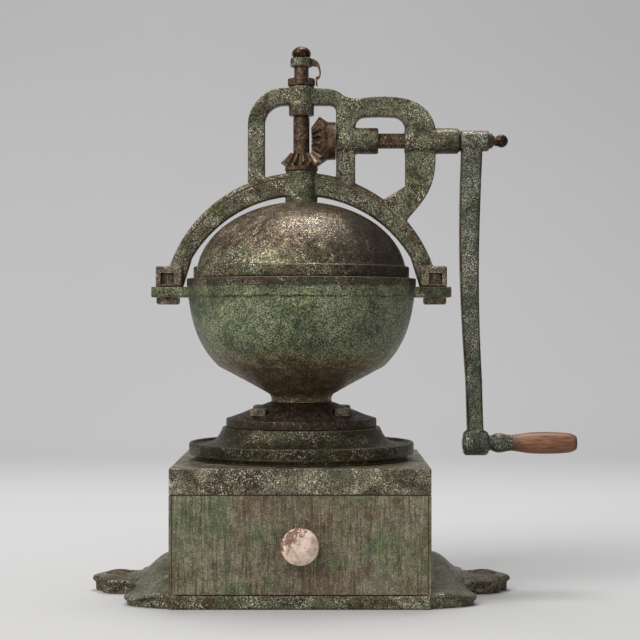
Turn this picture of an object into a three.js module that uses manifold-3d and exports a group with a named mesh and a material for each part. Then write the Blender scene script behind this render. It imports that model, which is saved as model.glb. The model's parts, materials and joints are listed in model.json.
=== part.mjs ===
// Hand crank coffee grinder: a ball-hopper counter mill on a square drawer case.
// Millimetres. The origin is the middle of the underside, on the spindle's axis.
// +Z is up, +X is the crank's side and -Y is the drawer's side.
import * as THREE from 'three';
import { mergeVertices } from 'three/addons/utils/BufferGeometryUtils.js';
import Module from 'manifold-3d';

const wasm = await Module();
wasm.setup();

// ---- Driving sizes ----

const GAP = 0.3; // room between pieces that touch
const ROUND = 36; // sides of a large round piece
const SMALL_ROUND = 16; // sides of a shaft or a boss

const BLOCK = 220; // side of the square case
const HALF = BLOCK / 2;
const SLAB_TOP = 12.2;
const PAN_FLOOR = 5;
const CASE_TOP = 96;
const PLATE_TOP = 118.3;
const PANEL = 10; // thickness of the wooden panels
const LIP = 2.4; // edge of a side panel that shows beside the drawer front
const PAN_HALF = 95; // half side of the hollow under the drawer
const RUNNER = { inner: 86, outer: 94.7, half: 94, top: 19.7 };
const DRAWER = { bottom: 20, top: 82, outer: 96, wall: 7, floor: 4 };
const WING_REACH = 187; // tip of an ear, from the axis
const EAR_X = 163; // screw in an ear
const EAR_SCREW = { radius: 12.6, shank: 4, seat: 13.6, rim: 14.8, crown: 3.6 };
const WOOD_SCREW = { x: 105, y: 80, shank: 2.2, head: 5, tip: 42 };

const CHUTE_RADIUS = 31;
const CUP_RADIUS = 44; // underside of the burr housing
const FLANGE_BOTTOM = 147.3;
const FLANGE_RADIUS = 67.5;
const FLANGE_BOLT_RING = 52;
const SPOT_FACE = 158.2;
const NECK_Z = 169;
const RIM_Z = 279.6;
const RIM_RADIUS = 102.8;
const RIM_BAND_RADIUS = 102.2;
const BOWL_WALL = 5;
const LUG_TOP = 272.3;
const LUG_BOTTOM = 262.9;
const LUG_REACH = 134;
const YOKE_BOLT_X = 119.8;

const DOME_BASE = 281;
const DOME_RADIUS = 94.3;
const DOME_HEIGHT = 67.8;
const DOME_WALL = 3;
const HATCH_HINGE = { y: 56.5, z: 341, barrel: 3.4, bore: 1.9, pin: 1.6 };

const YOKE_DEPTH = 14;
const YOKE_CHAMFER = 2.6;
const YOKE_BOLT_RADIUS = 3.2;
const YOKE_BOLT_HOLE = YOKE_BOLT_RADIUS + 0.4;
const ARCH_OUTER = { radius: 125, z: 249.7 };
const ARCH_INNER = { radius: 114.5, z: 239.8 };

const SHAFT_Z = 403.5; // crank shaft, and the apex of both bevel gears
const SHAFT_RADIUS = 6.8;
const SPINDLE_RADIUS = 7.3;
const SPINDLE_TOP_RADIUS = 6.5;
const SHAFT_BORE = 9; // holes in the yoke for the bushes
const GEAR_PIN = { x: 26.5, radius: 1.8 };

const GEAR_MODULE = 2.33;
const DRIVE_TEETH = 18;
const DRIVEN_TEETH = 15;
const GEAR_FACE = 0.54; // small end of the teeth, as a part of the cone distance

const CRANK_X = 153.6;
const CRANK_RADIUS = 271.4;
const GRIP_Z = SHAFT_Z - CRANK_RADIUS;
const KNOB_Z = 54;
const KNOB_SCREW = 2.5; // radius

// ---- Materials ----

const finish = (color, roughness, metalness) =>
  new THREE.MeshStandardMaterial({ color, roughness, metalness });
const PATINA = finish(0x5c6349, 0.62, 0.55);
const SPECKLED_IRON = finish(0x6b6c5a, 0.6, 0.6);
const RUSTY_IRON = finish(0x4a3a2e, 0.66, 0.6);
const DARK_STEEL = finish(0x3d352f, 0.48, 0.85);
const BURR_STEEL = finish(0x77756f, 0.4, 0.95);
const BRONZE = finish(0x8a6238, 0.36, 0.9);
const PAINTED_WOOD = finish(0x57563f, 0.82, 0);
const PLAIN_WOOD = finish(0x6d543b, 0.8, 0);
const GRIP_WOOD = finish(0xa8643c, 0.55, 0);
const ENAMEL = finish(0xd6c3b4, 0.28, 0);

// ---- Solids ----

const group = new THREE.Group();

const point = (x, y) => new THREE.Vector2(x, y);

/** A closed three.js geometry as a solid that can be joined and cut. */
function solid(geometry) {
  const shell = geometry.clone();
  shell.deleteAttribute('normal');
  shell.deleteAttribute('uv');
  const merged = mergeVertices(shell, 1e-4);
  const mesh = new wasm.Mesh({
    numProp: 3,
    vertProperties: new Float32Array(merged.attributes.position.array),
    triVerts: new Uint32Array(merged.index.array),
  });
  return new wasm.Manifold(mesh);
}

/** The triangles of a solid. */
function geometryOf(body) {
  const mesh = body.getMesh();
  const geometry = new THREE.BufferGeometry();
  geometry.setAttribute('position', new THREE.BufferAttribute(mesh.vertProperties, 3));
  geometry.setIndex(new THREE.BufferAttribute(mesh.triVerts, 1));
  geometry.computeVertexNormals();
  return geometry;
}

/** Adds one named piece, from a solid. */
function piece(name, body, material) {
  const mesh = new THREE.Mesh(geometryOf(body), material);
  mesh.name = name;
  group.add(mesh);
}

const joined = (...bodies) => bodies.reduce((all, body) => all.add(body));
const without = (body, ...tools) => tools.reduce((rest, tool) => rest.subtract(tool), body);

function box(x0, x1, y0, y1, z0, z1) {
  const geometry = new THREE.BoxGeometry(x1 - x0, y1 - y0, z1 - z0);
  geometry.translate((x0 + x1) / 2, (y0 + y1) / 2, (z0 + z1) / 2);
  return solid(geometry);
}

/** A round piece about Z from its half section, listed up the outside and down the inside. */
function turnedGeometry(profile, segments = ROUND) {
  const first = profile[0];
  const onAxis = first.x === 0 && profile[profile.length - 1].x === 0;
  const line = onAxis ? profile : [...profile, first];
  return new THREE.LatheGeometry(line, segments).rotateX(Math.PI / 2);
}

const turned = (profile, segments) => solid(turnedGeometry(profile, segments));

/** A round piece about a line parallel to X, with its section given as (radius, x). */
function turnedAlongX(profile, z, segments = SMALL_ROUND) {
  return solid(turnedGeometry(profile, segments).rotateY(Math.PI / 2).translate(0, 0, z));
}

/** A round piece about a line parallel to Y, with its section as (radius, distance to the front). */
function turnedToFront(profile, z, segments = SMALL_ROUND) {
  return solid(turnedGeometry(profile, segments).rotateX(Math.PI / 2).translate(0, 0, z));
}

const rodProfile = (radius, from, to) => [
  point(0, from), point(radius, from), point(radius, to), point(0, to),
];

const tubeProfile = (inner, outer, from, to) => [
  point(inner, from), point(outer, from), point(outer, to), point(inner, to),
];

const rod = (radius, z0, z1, segments = SMALL_ROUND) => turned(rodProfile(radius, z0, z1), segments);
const tube = (inner, outer, z0, z1, segments = SMALL_ROUND) =>
  turned(tubeProfile(inner, outer, z0, z1), segments);

/** A six-sided prism about Z with flats facing +X and -X. */
function hexagon(acrossFlats, z0, z1) {
  const corner = acrossFlats / 2 / Math.cos(Math.PI / 6);
  const ends = [point(0, z0), point(corner, z0), point(corner, z1), point(0, z1)];
  return solid(turnedGeometry(ends, 6));
}

/** A flat shape drawn in X and Z, made into a plate about Y = 0 with chamfered edges. */
function plateInXZ(shape, depth, chamfer, curveSegments = 10) {
  const geometry = new THREE.ExtrudeGeometry(shape, {
    depth: depth - 2 * chamfer,
    bevelEnabled: chamfer > 0,
    bevelThickness: chamfer,
    bevelSize: chamfer,
    bevelOffset: -chamfer,
    bevelSegments: 1,
    curveSegments,
  });
  geometry.translate(0, 0, chamfer - depth / 2).rotateX(Math.PI / 2);
  return solid(geometry);
}

/** A closed surface over rings with the same number of points; the last ring joins the first. */
function ringLoft(rings) {
  const count = rings[0].length;
  const positions = rings.flat().flatMap((corner) => corner.toArray());
  const index = [];
  for (let i = 0; i < rings.length; i += 1) {
    const here = i * count;
    const next = ((i + 1) % rings.length) * count;
    for (let j = 0; j < count; j += 1) {
      const k = (j + 1) % count;
      index.push(here + j, here + k, next + k);
      index.push(here + j, next + k, next + j);
    }
  }
  const geometry = new THREE.BufferGeometry();
  geometry.setAttribute('position', new THREE.Float32BufferAttribute(positions, 3));
  geometry.setIndex(index);
  return geometry;
}

/** The line of points moved sideways, to the left of its own direction. */
function offsetLine(points, distance) {
  return points.map((here, i) => {
    const before = points[Math.max(i - 1, 0)];
    const after = points[Math.min(i + 1, points.length - 1)];
    const run = after.clone().sub(before).normalize();
    return point(here.x - run.y * distance, here.y + run.x * distance);
  });
}

// ---- Base and case ----

/** Height of the iron wing at a place beside the case. */
function wingHeight(x, y) {
  const hump = THREE.MathUtils.clamp((x - 118) / 29, 0, 1);
  const rise = 0.5 + 0.5 * Math.cos(Math.PI * hump);
  const wall = 13.5 + 20 * Math.cos((Math.PI / 2) * (y / (HALF + 1))) ** 1.6;
  const past = Math.max(x - EAR_X, 0) / 30;
  const crown = Math.max(1 - (y / 34) ** 2 - past ** 2, 0);
  const lobe = 8.5 + 2.5 * Math.exp(-((y / 55) ** 4));
  const flat = lobe + 5.8 * crown;
  return flat + (wall - flat) * rise;
}

/** One scalloped wing of the base, for side = 1 (crank side) or -1. */
function wing(side) {
  const half = [
    point(HALF, -109.5), point(126, -104), point(141, -96), point(150, -85), point(149.5, -71),
    point(145, -55), point(145.5, -38), point(152, -29), point(168, -27), point(178.5, -19),
    point(180.5, -10), point(WING_REACH - 0.5, -5),
  ];
  const mirrored = half.map((p) => point(p.x, -p.y)).reverse();
  const edge = new THREE.SplineCurve([...half, point(WING_REACH, 0), ...mirrored]).getPoints(30);
  const steps = 4;
  const inside = HALF - 5;
  const top = SLAB_TOP - 0.1;
  const wall = HALF + GAP;
  const rows = edge.map((p) => {
    const row = [new THREE.Vector3(inside, p.y, 0), new THREE.Vector3(Math.max(p.x, wall + 0.1), p.y, 0)];
    for (let i = steps; i >= 0; i -= 1) {
      const x = wall + (Math.max(p.x, wall + 0.1) - wall) * (i / steps);
      row.push(new THREE.Vector3(x, p.y, wingHeight(x, p.y)));
    }
    row.push(new THREE.Vector3(wall, p.y, top));
    row.push(new THREE.Vector3(inside, p.y, top));
    return row;
  });
  const count = rows[0].length;
  const positions = rows.flat().flatMap((corner) => corner.toArray());
  const index = [];
  for (let i = 0; i + 1 < rows.length; i += 1) {
    for (let j = 0; j < count; j += 1) {
      const k = (j + 1) % count;
      index.push(i * count + j, i * count + k, (i + 1) * count + k);
      index.push(i * count + j, (i + 1) * count + k, (i + 1) * count + j);
    }
  }
  const last = (rows.length - 1) * count;
  const hub = count - 2;
  for (let step = 1; step + 1 < count; step += 1) {
    const j = (hub + step) % count;
    const k = (j + 1) % count;
    index.push(hub, k, j);
    index.push(last + hub, last + j, last + k);
  }
  const geometry = new THREE.BufferGeometry();
  geometry.setAttribute('position', new THREE.Float32BufferAttribute(positions, 3));
  geometry.setIndex(index.reverse());
  if (side < 0) {
    geometry.rotateZ(Math.PI);
  }
  return solid(geometry);
}

const baseScrewPlaces = [
  ['front_right', WOOD_SCREW.x, -WOOD_SCREW.y], ['front_left', -WOOD_SCREW.x, -WOOD_SCREW.y],
  ['rear_right', WOOD_SCREW.x, WOOD_SCREW.y], ['rear_left', -WOOD_SCREW.x, WOOD_SCREW.y],
];

function addBaseCasting() {
  const slab = box(-HALF, HALF, -HALF, HALF, 0, SLAB_TOP);
  const pan = box(-PAN_HALF, PAN_HALF, -PAN_HALF, PAN_HALF, PAN_FLOOR, SLAB_TOP + 1);
  const { shank, head } = WOOD_SCREW;
  const holes = baseScrewPlaces.map(([, x, y]) => joined(
    rod(shank + 0.4, -1, SLAB_TOP + 1, 12), rod(head + 0.4, -1, 4.2, 16),
  ).translate([x, y, 0]));
  const { seat, radius } = EAR_SCREW;
  const sockets = [1, -1].map((side) => joined(
    rod(EAR_SCREW.shank + 0.4, -1, 20, 16), rod(radius + 0.4, seat, 24),
  ).translate([side * EAR_X, 0, 0]));
  const body = joined(slab, wing(1), wing(-1));
  piece('base_casting', without(body, pan, ...holes, ...sockets), PATINA);
}

/** A wood screw from below, up through the base into a side panel. */
function addBaseScrews() {
  const { shank, head, tip } = WOOD_SCREW;
  const profile = [
    point(0, 0.6), point(head, 0.6), point(head, 3.8), point(shank, 3.8), point(shank, tip - 4),
    point(0, tip),
  ];
  for (const [place, x, y] of baseScrewPlaces) {
    piece(`base_screw_${place}`, turned(profile, 12).translate([x, y, 0]), DARK_STEEL);
  }
}

/** The domed, slotted screw that sits in the dished hole of each ear. */
function addEarScrews() {
  const { radius, shank, seat, rim, crown } = EAR_SCREW;
  const head = [
    point(0, 0.6), point(shank, 0.6), point(shank, seat + GAP), point(radius, seat + GAP), point(radius, rim),
  ];
  const dome = [30, 60, 90].map((degrees) => {
    const angle = THREE.MathUtils.degToRad(degrees);
    return point(degrees === 90 ? 0 : radius * Math.cos(angle), rim + crown * Math.sin(angle));
  });
  const slot = box(-15, 15, -0.9, 0.9, 17, 20);
  for (const [name, side] of [['ear_screw_right', 1], ['ear_screw_left', -1]]) {
    const screw = without(turned([...head, ...dome], SMALL_ROUND), slot);
    piece(name, screw.rotate([0, 0, 32 * side]).translate([side * EAR_X, 0, 0]), RUSTY_IRON);
  }
}

function addPanels() {
  const z0 = SLAB_TOP + GAP;
  const z1 = CASE_TOP - GAP;
  const front = -HALF + PANEL + GAP;
  for (const [name, side] of [['side_panel_right', 1], ['side_panel_left', -1]]) {
    const board = box(HALF - PANEL, HALF, front, HALF, z0, z1);
    const lip = box(HALF - LIP, HALF, -HALF, front + 1, z0, z1);
    const holes = [-1, 1].map((end) => rod(WOOD_SCREW.shank + GAP, 0, WOOD_SCREW.tip + 1, 12)
      .translate([WOOD_SCREW.x, end * WOOD_SCREW.y, 0]));
    const panel = without(joined(board, lip), ...holes);
    piece(name, side > 0 ? panel : panel.mirror([1, 0, 0]), PAINTED_WOOD);
  }
  const inner = HALF - PANEL - GAP;
  piece('rear_panel', box(-inner, inner, HALF - PANEL, HALF, z0, z1), PAINTED_WOOD);
}

function addRunners() {
  for (const [name, side] of [['drawer_runner_right', 1], ['drawer_runner_left', -1]]) {
    const { inner, outer, half, top } = RUNNER;
    const [x0, x1] = side > 0 ? [inner, outer] : [-outer, -inner];
    piece(name, box(x0, x1, -half, half, PAN_FLOOR + GAP, top), PLAIN_WOOD);
  }
}

function addDrawer() {
  const { bottom: z0, top: z1, outer, wall, floor } = DRAWER;
  const back = outer;
  const face = -HALF + PANEL + GAP;
  const frontHalf = HALF - LIP - GAP;
  const board = box(-frontHalf, frontHalf, -HALF, -HALF + PANEL, SLAB_TOP + 0.4, CASE_TOP - 0.4);
  const screwHole = turnedToFront(rodProfile(KNOB_SCREW + GAP, HALF - 20, HALF + 2), KNOB_Z, 12);
  piece('drawer_front', without(board, screwHole), PAINTED_WOOD);
  piece('drawer_side_right', box(outer - wall, outer, face, back, z0, z1), PLAIN_WOOD);
  piece('drawer_side_left', box(-outer, wall - outer, face, back, z0, z1), PLAIN_WOOD);
  const inner = outer - wall - GAP;
  piece('drawer_back', box(-inner, inner, back - wall, back, z0, z1), PLAIN_WOOD);
  piece('drawer_bottom', box(-inner, inner, face, back - wall - GAP, z0, z0 + floor), PLAIN_WOOD);
}

function addKnob() {
  const reach = HALF + GAP;
  const bore = KNOB_SCREW + GAP;
  const stem = [point(bore, reach), point(8.4, reach), point(7.2, reach + 3), point(9.5, reach + 5.4)];
  const crown = [
    point(15.4, reach + 7.2), point(16, reach + 9), point(15.2, reach + 10.8), point(11.5, reach + 12.6),
    point(6, reach + 13.6), point(0, reach + 14),
  ];
  const blind = [point(0, reach + 8), point(bore, reach + 8)];
  piece('drawer_knob', turnedToFront([...stem, ...crown, ...blind], KNOB_Z, 28), ENAMEL);
  const inside = HALF - PANEL - GAP;
  const screw = [
    point(0, inside - 2.9), point(2 * KNOB_SCREW, inside - 1.3), point(2 * KNOB_SCREW, inside),
    point(KNOB_SCREW, inside), point(KNOB_SCREW, reach + 7.6), point(0, reach + 7.6),
  ];
  piece('knob_screw', turnedToFront(screw, KNOB_Z, 16), DARK_STEEL);
}

// ---- Top plate, pedestal and burr housing ----

function addTopPlate() {
  const plate = box(-HALF, HALF, -HALF, HALF, CASE_TOP, PLATE_TOP);
  const inner = HALF - PANEL;
  const core = box(-inner, inner, -inner, inner, CASE_TOP - 1, PLATE_TOP - 7.3);
  piece('top_plate', without(plate, core, rod(CHUTE_RADIUS, CASE_TOP, PLATE_TOP + 1, 32)), SPECKLED_IRON);
}

/** The dished ring and the hollow-sided foot that carry the burr housing. */
function addPedestal() {
  const foot = PLATE_TOP + GAP;
  const dish = [
    point(32, foot), point(54, foot), point(58, foot + 5), point(84, foot + 5), point(86, foot),
    point(95, foot), point(95, 122.8), point(100.8, 123.2), point(100.8, 132.6), point(100, 133.5),
    point(98.2, 133.5), point(97.4, 130.4),
  ];
  const sweep = new THREE.CubicBezierCurve(
    point(89.5, 130.8), point(79, 132.5), point(74, 137), point(70.5, FLANGE_BOTTOM - GAP),
  ).getPoints(5);
  const throat = [point(CUP_RADIUS + GAP, FLANGE_BOTTOM - GAP), point(CUP_RADIUS + GAP, 124.6)];
  const body = turned([...dish, ...sweep, ...throat], ROUND);
  const holes = boltAngles.map((angle) => boltPlace(rod(3.4, 132, 150, 12), angle));
  piece('pedestal', without(body, ...holes), PATINA);
}

const boltAngles = [45, 135, 225, 315];

function boltPlace(body, degrees) {
  const angle = THREE.MathUtils.degToRad(degrees);
  return body.translate([FLANGE_BOLT_RING * Math.cos(angle), FLANGE_BOLT_RING * Math.sin(angle), 0]);
}

function addBurrHousing() {
  const body = turned([
    point(36, 130), point(CUP_RADIUS, 130), point(CUP_RADIUS, FLANGE_BOTTOM),
    point(FLANGE_RADIUS - 1, FLANGE_BOTTOM), point(FLANGE_RADIUS, FLANGE_BOTTOM + 1),
    point(FLANGE_RADIUS, 153.6), point(FLANGE_RADIUS - 1, 154.6), point(64, 155.4),
    point(46, 162.4), point(27.5, NECK_Z), point(25.3, NECK_Z), point(25.3, 163),
    point(33, 159), point(40.3, 158.3), point(40.3, 133), point(36, 133),
  ], ROUND);
  const seats = boltAngles.map((angle) => boltPlace(rod(10, SPOT_FACE, 175, 16), angle));
  const holes = boltAngles.map((angle) => boltPlace(rod(3.6, 140, 160, 12), angle));
  piece('burr_housing', without(body, ...seats, ...holes), RUSTY_IRON);
  boltAngles.forEach((angle, i) => {
    const head = hexagon(14, SPOT_FACE + GAP, 164.6).rotate([0, 0, 15 * (i + 1)]);
    const bolt = joined(head, rod(3.1, 133, SPOT_FACE + 2, 12));
    piece(`flange_bolt_${i + 1}`, boltPlace(bolt, angle), RUSTY_IRON);
  });
}

/** Points of a toothed ring: four to each tooth, at the tip and root radii. */
function toothedRing(teeth, tip, root, z, turn) {
  const pitch = (2 * Math.PI) / teeth;
  const ring = [];
  for (let i = 0; i < teeth; i += 1) {
    for (const [part, radius] of [[-0.42, root], [-0.16, tip], [0.16, tip], [0.42, root]]) {
      const angle = (i + part) * pitch + turn;
      ring.push(new THREE.Vector3(radius * Math.cos(angle), radius * Math.sin(angle), z));
    }
  }
  return ring;
}

function addBurrs() {
  const ring = [
    toothedRing(16, 39.9, 39.9, 133.3, 0), toothedRing(16, 39.9, 39.9, 158, 0),
    toothedRing(16, 26.5, 29, 158, 0.2), toothedRing(16, 22.8, 23.8, 133.3, 0),
  ];
  piece('outer_burr', solid(ringLoft(ring)), BURR_STEEL);
  const cone = [
    toothedRing(12, 21.8, 19.8, 134.5, 0), toothedRing(12, 21.6, 19.2, 139, 0.06),
    toothedRing(12, 13, 10.8, 161, 0.5), toothedRing(12, 8.3, 8.3, 161, 0.5),
    toothedRing(12, 8.3, 8.3, 134.5, 0),
  ];
  piece('inner_burr', solid(ringLoft(cone)), BURR_STEEL);
}

/** The cross bar, clamped between housing and pedestal, that steadies the foot of the spindle. */
function addBearingBridge() {
  const reach = CUP_RADIUS - 0.4;
  const bar = box(-reach, reach, -6, 6, 125.5, 129.7).intersect(rod(reach, 120, 135, ROUND));
  const hub = rod(11, 120, 129.7);
  piece('bearing_bridge', without(joined(bar, hub), rod(8.4, 119, 131)), DARK_STEEL);
  piece('foot_bush', tube(6.3, 8.1, 120.2, 129.6), BRONZE);
}

// ---- Hopper ----

function addHopperBowl() {
  const belly = new THREE.CubicBezierCurve(
    point(74.3, 201.2), point(92.5, 218.5), point(98.5, 240), point(101.3, 262.4),
  ).getPoints(7);
  const outside = [point(26.8, 171.6), point(28.3, 176.4), ...belly];
  const inside = offsetLine(outside, BOWL_WALL).filter((_, i) => i % 2 === 1).reverse();
  const rim = [
    point(RIM_BAND_RADIUS - 0.4, 263.2), point(RIM_BAND_RADIUS, 264), point(RIM_BAND_RADIUS, LUG_TOP),
    point(RIM_RADIUS, LUG_TOP + 0.6), point(RIM_RADIUS, RIM_Z - 0.8),
    point(RIM_RADIUS - 0.8, RIM_Z), point(91, RIM_Z), point(91, 275), point(96.3, 268),
  ];
  const spigot = [
    point(22, 163.8), point(25, 163.8), point(25, NECK_Z + GAP), point(27.5, NECK_Z + GAP),
  ];
  const bowl = turned([...spigot, ...outside, ...rim, ...inside, point(22, 173.5)], ROUND);
  const lugs = [1, -1].map((side) => {
    const [x0, x1] = side > 0 ? [98.5, LUG_REACH] : [-LUG_REACH, -98.5];
    const hole = rod(YOKE_BOLT_HOLE, 250, 280, 16).translate([side * YOKE_BOLT_X, 0, 0]);
    return without(box(x0, x1, -13, 13, LUG_BOTTOM, LUG_TOP), hole);
  });
  piece('hopper_bowl', joined(bowl, ...lugs), PATINA);
}

/** Half section of the dome's outer face, moved out by a distance, going up from one step to another. */
function domeLine(distance, first, last) {
  const line = [];
  for (let step = first; step <= last; step += 1) {
    const angle = THREE.MathUtils.degToRad(9 + 8 * step);
    line.push(point(
      (DOME_RADIUS + distance) * Math.cos(angle),
      DOME_BASE + (DOME_HEIGHT + distance) * Math.sin(angle),
    ));
  }
  return line;
}

/** What lies inside the dome's outer face, moved out by a distance. */
function domeFilling(distance) {
  return turned([point(0, DOME_BASE - 5), point(DOME_RADIUS + distance, DOME_BASE - 5),
    ...domeLine(distance, 0, 9), point(0, DOME_BASE + DOME_HEIGHT + distance)]);
}

const HATCH = { half: 33, low: 299, high: 335.5 };

function addDomeLid() {
  const band = [
    point(87.8, 275), point(90.6, 275), point(90.6, RIM_Z + GAP), point(96.2, RIM_Z + GAP),
    point(96.8, 280.5), point(96.8, 289.4), point(96, 290.2), point(94, 290.2),
  ];
  const outside = domeLine(0, 0, 9);
  const inside = domeLine(-DOME_WALL, 0, 9).reverse();
  const shell = turned([...band, ...outside, ...inside, point(90.4, 281)], ROUND);
  const opening = box(-27, 27, 20, 120, 305, 330);
  const { y, z, barrel, bore } = HATCH_HINGE;
  const half = 3.5;
  const knuckles = [20, -20].map((x) => joined(
    turnedAlongX(rodProfile(barrel, x - half, x + half), z, 16).translate([0, y, 0]),
    box(x - half, x + half, y - 4.5, y - 0.2, z - 5.5, z),
  ));
  const pinHole = turnedAlongX(rodProfile(bore, -30, 30), z, 12).translate([0, y, 0]);
  const feet = knuckles.map((knuckle) => without(knuckle, domeFilling(0.4 - DOME_WALL)));
  const crownHole = rod(14.8, 335, 355, ROUND);
  piece('dome_lid', without(joined(shell, ...feet), opening, pinHole, crownHole), PATINA);
  const pin = turnedAlongX(rodProfile(HATCH_HINGE.pin, -25, 25), z, 12).translate([0, y, 0]);
  piece('hatch_hinge_pin', pin, BRONZE);
}

/** The curved flap over the filling hole at the back of the dome. */
function addHatch() {
  const skin = turned([...domeLine(3.2, 0, 7), ...domeLine(0.8, 0, 7).reverse()]);
  const flap = skin.intersect(box(-HATCH.half, HATCH.half, HATCH_HINGE.y + 1, 130, HATCH.low, HATCH.high));
  const { y, z, barrel, bore } = HATCH_HINGE;
  const roll = turnedAlongX(rodProfile(barrel, -16, 16), z, 16).translate([0, y, 0]);
  const leaf = box(-14, 14, y + 0.4, y + 4.6, z - 9.5, z - 0.5);
  const pinHole = turnedAlongX(rodProfile(bore, -30, 30), z, 12).translate([0, y, 0]);
  const tab = box(-9, 9, 90, 99, 301, 304);
  const hinge = without(joined(leaf, tab), domeFilling(0.8));
  piece('filling_hatch', without(joined(flap, roll, hinge), pinHole), PATINA);
}

// ---- Yoke ----

const archPoint = ({ radius, z }, x) => point(x, z + Math.sqrt(radius ** 2 - x ** 2));

/** Angle on an arch, for a point at this distance from the middle. */
const archAngle = ({ radius }, x) => Math.acos(x / radius);

function yokeOutline() {
  const foot = { outer: 130.6, top: 291, bottom: LUG_TOP + GAP, inner: 106.3 };
  const { radius, z } = ARCH_OUTER;
  const inner = ARCH_INNER;
  const footJoin = Math.sqrt(radius ** 2 - (foot.top - z) ** 2);
  const springing = 98.4; // where the inner arch begins, above the straight inner edge of a foot
  const merge = 94.5; // where the right loop leaves the arch
  const shape = new THREE.Shape();
  shape.moveTo(foot.inner, foot.bottom);
  shape.lineTo(foot.outer, foot.bottom);
  shape.lineTo(foot.outer - 1.6, foot.top);
  shape.lineTo(footJoin, foot.top);
  shape.absarc(0, z, radius, archAngle(ARCH_OUTER, footJoin), archAngle(ARCH_OUTER, merge), false);
  shape.bezierCurveTo(103, 344, 119.5, 354, 120.3, 385);
  shape.lineTo(120.3, 414);
  shape.bezierCurveTo(118, 428, 108, 437.5, 94, 441);
  shape.quadraticCurveTo(74, 445, 54, 441.5);
  shape.quadraticCurveTo(46, 440, 37.5, 444);
  shape.quadraticCurveTo(31, 449.8, 22, 450.2);
  shape.lineTo(-18, 450.8);
  shape.bezierCurveTo(-31, 450.8, -47.5, 436, -48, 419);
  const left = archPoint(ARCH_OUTER, -48);
  shape.lineTo(left.x, left.y);
  shape.absarc(0, z, radius, archAngle(ARCH_OUTER, -48), archAngle(ARCH_OUTER, -footJoin), false);
  shape.lineTo(-foot.outer + 1.6, foot.top);
  shape.lineTo(-foot.outer, foot.bottom);
  shape.lineTo(-foot.inner, foot.bottom);
  shape.absarc(
    0, inner.z, inner.radius, archAngle(inner, -springing), archAngle(inner, springing), true,
  );
  shape.holes.push(leftWindow(), rightWindow());
  return shape;
}

/** The opening that the spindle and the gears stand in. */
function leftWindow() {
  const window = new THREE.Path();
  const from = archPoint(ARCH_OUTER, -32.7);
  window.moveTo(from.x, from.y);
  window.lineTo(-32.7, 418);
  window.bezierCurveTo(-32.7, 428, -25, 435.4, -15, 435.4);
  window.lineTo(25.2, 435.4);
  window.quadraticCurveTo(31.2, 435.4, 31.2, 429);
  const to = archPoint(ARCH_OUTER, 31.2);
  window.lineTo(to.x, to.y);
  window.absarc(0, ARCH_OUTER.z, ARCH_OUTER.radius, archAngle(ARCH_OUTER, 31.2),
    archAngle(ARCH_OUTER, -32.7), false);
  return window;
}

/** The opening around the crank shaft. */
function rightWindow() {
  const window = new THREE.Path();
  const from = archPoint(ARCH_OUTER, 48.3);
  const low = archPoint(ARCH_OUTER, 73.8);
  window.moveTo(from.x, from.y);
  window.absarc(0, ARCH_OUTER.z, ARCH_OUTER.radius, archAngle(ARCH_OUTER, 48.3),
    archAngle(ARCH_OUTER, low.x), true);
  window.lineTo(93.3, 362.6);
  window.lineTo(93.3, 412);
  window.bezierCurveTo(93.3, 420, 89, 424.5, 82, 424.8);
  window.quadraticCurveTo(70, 425.6, 58, 424.8);
  window.bezierCurveTo(51, 424.5, 48.3, 420, 48.3, 413);
  window.lineTo(from.x, from.y);
  return window;
}

/** A foot of the yoke, with the pocket that holds a nut and the hole of its bolt. */
function yokeFoot(side) {
  const bottom = LUG_TOP + GAP;
  const block = box(106.4, 130.2, -12, 12, bottom, 290.6);
  const pocket = box(YOKE_BOLT_X - 6, YOKE_BOLT_X + 6, -20, 8, 274.6, 284.6);
  const hole = rod(YOKE_BOLT_HOLE, bottom - 1, 287, 16).translate([YOKE_BOLT_X, 0, 0]);
  const body = { block, pocket, hole };
  if (side > 0) {
    return body;
  }
  return Object.fromEntries(Object.entries(body).map(([key, part]) => [key, part.mirror([1, 0, 0])]));
}

function addYoke() {
  const casting = plateInXZ(yokeOutline(), YOKE_DEPTH, YOKE_CHAMFER, 5);
  const lowerBoss = turned([
    point(0, 346.2), point(14.4, 346.2), point(14.4, 354), point(13.4, 368), point(13.9, 376),
    point(0, 376),
  ], 24);
  const upperBoss = turned([
    point(0, 426), point(11.3, 426), point(11.3, 437), point(10.4, 438), point(11.7, 450),
    point(11.4, 452.5), point(0, 452.5),
  ], 20);
  const innerBoss = turnedAlongX([
    point(0, 31.2), point(11.8, 31.2), point(11.8, 68), point(11, 69), point(0, 69),
  ], SHAFT_Z, 20);
  const outerBoss = turnedAlongX([
    point(0, 92.7), point(11, 92.7), point(11.8, 93.6), point(11.8, 120.6), point(11.3, 121.2),
    point(11.5, 140.2), point(10.8, 141), point(0, 141),
  ], SHAFT_Z, 20);
  const feet = [yokeFoot(1), yokeFoot(-1)];
  const solidYoke = joined(
    casting, lowerBoss, upperBoss, innerBoss, outerBoss, feet[0].block, feet[1].block,
  );
  const bores = [
    rod(11.3, 340, 372), rod(7.9, 371, 380), rod(SHAFT_BORE, 420, 460),
    turnedAlongX(rodProfile(SHAFT_BORE, 25, 75), SHAFT_Z),
    turnedAlongX(rodProfile(SHAFT_BORE, 88, 145), SHAFT_Z),
  ];
  const recesses = feet.flatMap(({ pocket, hole }) => [pocket, hole]);
  piece('yoke_frame', without(solidYoke, ...bores, ...recesses), PATINA);
}

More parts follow.
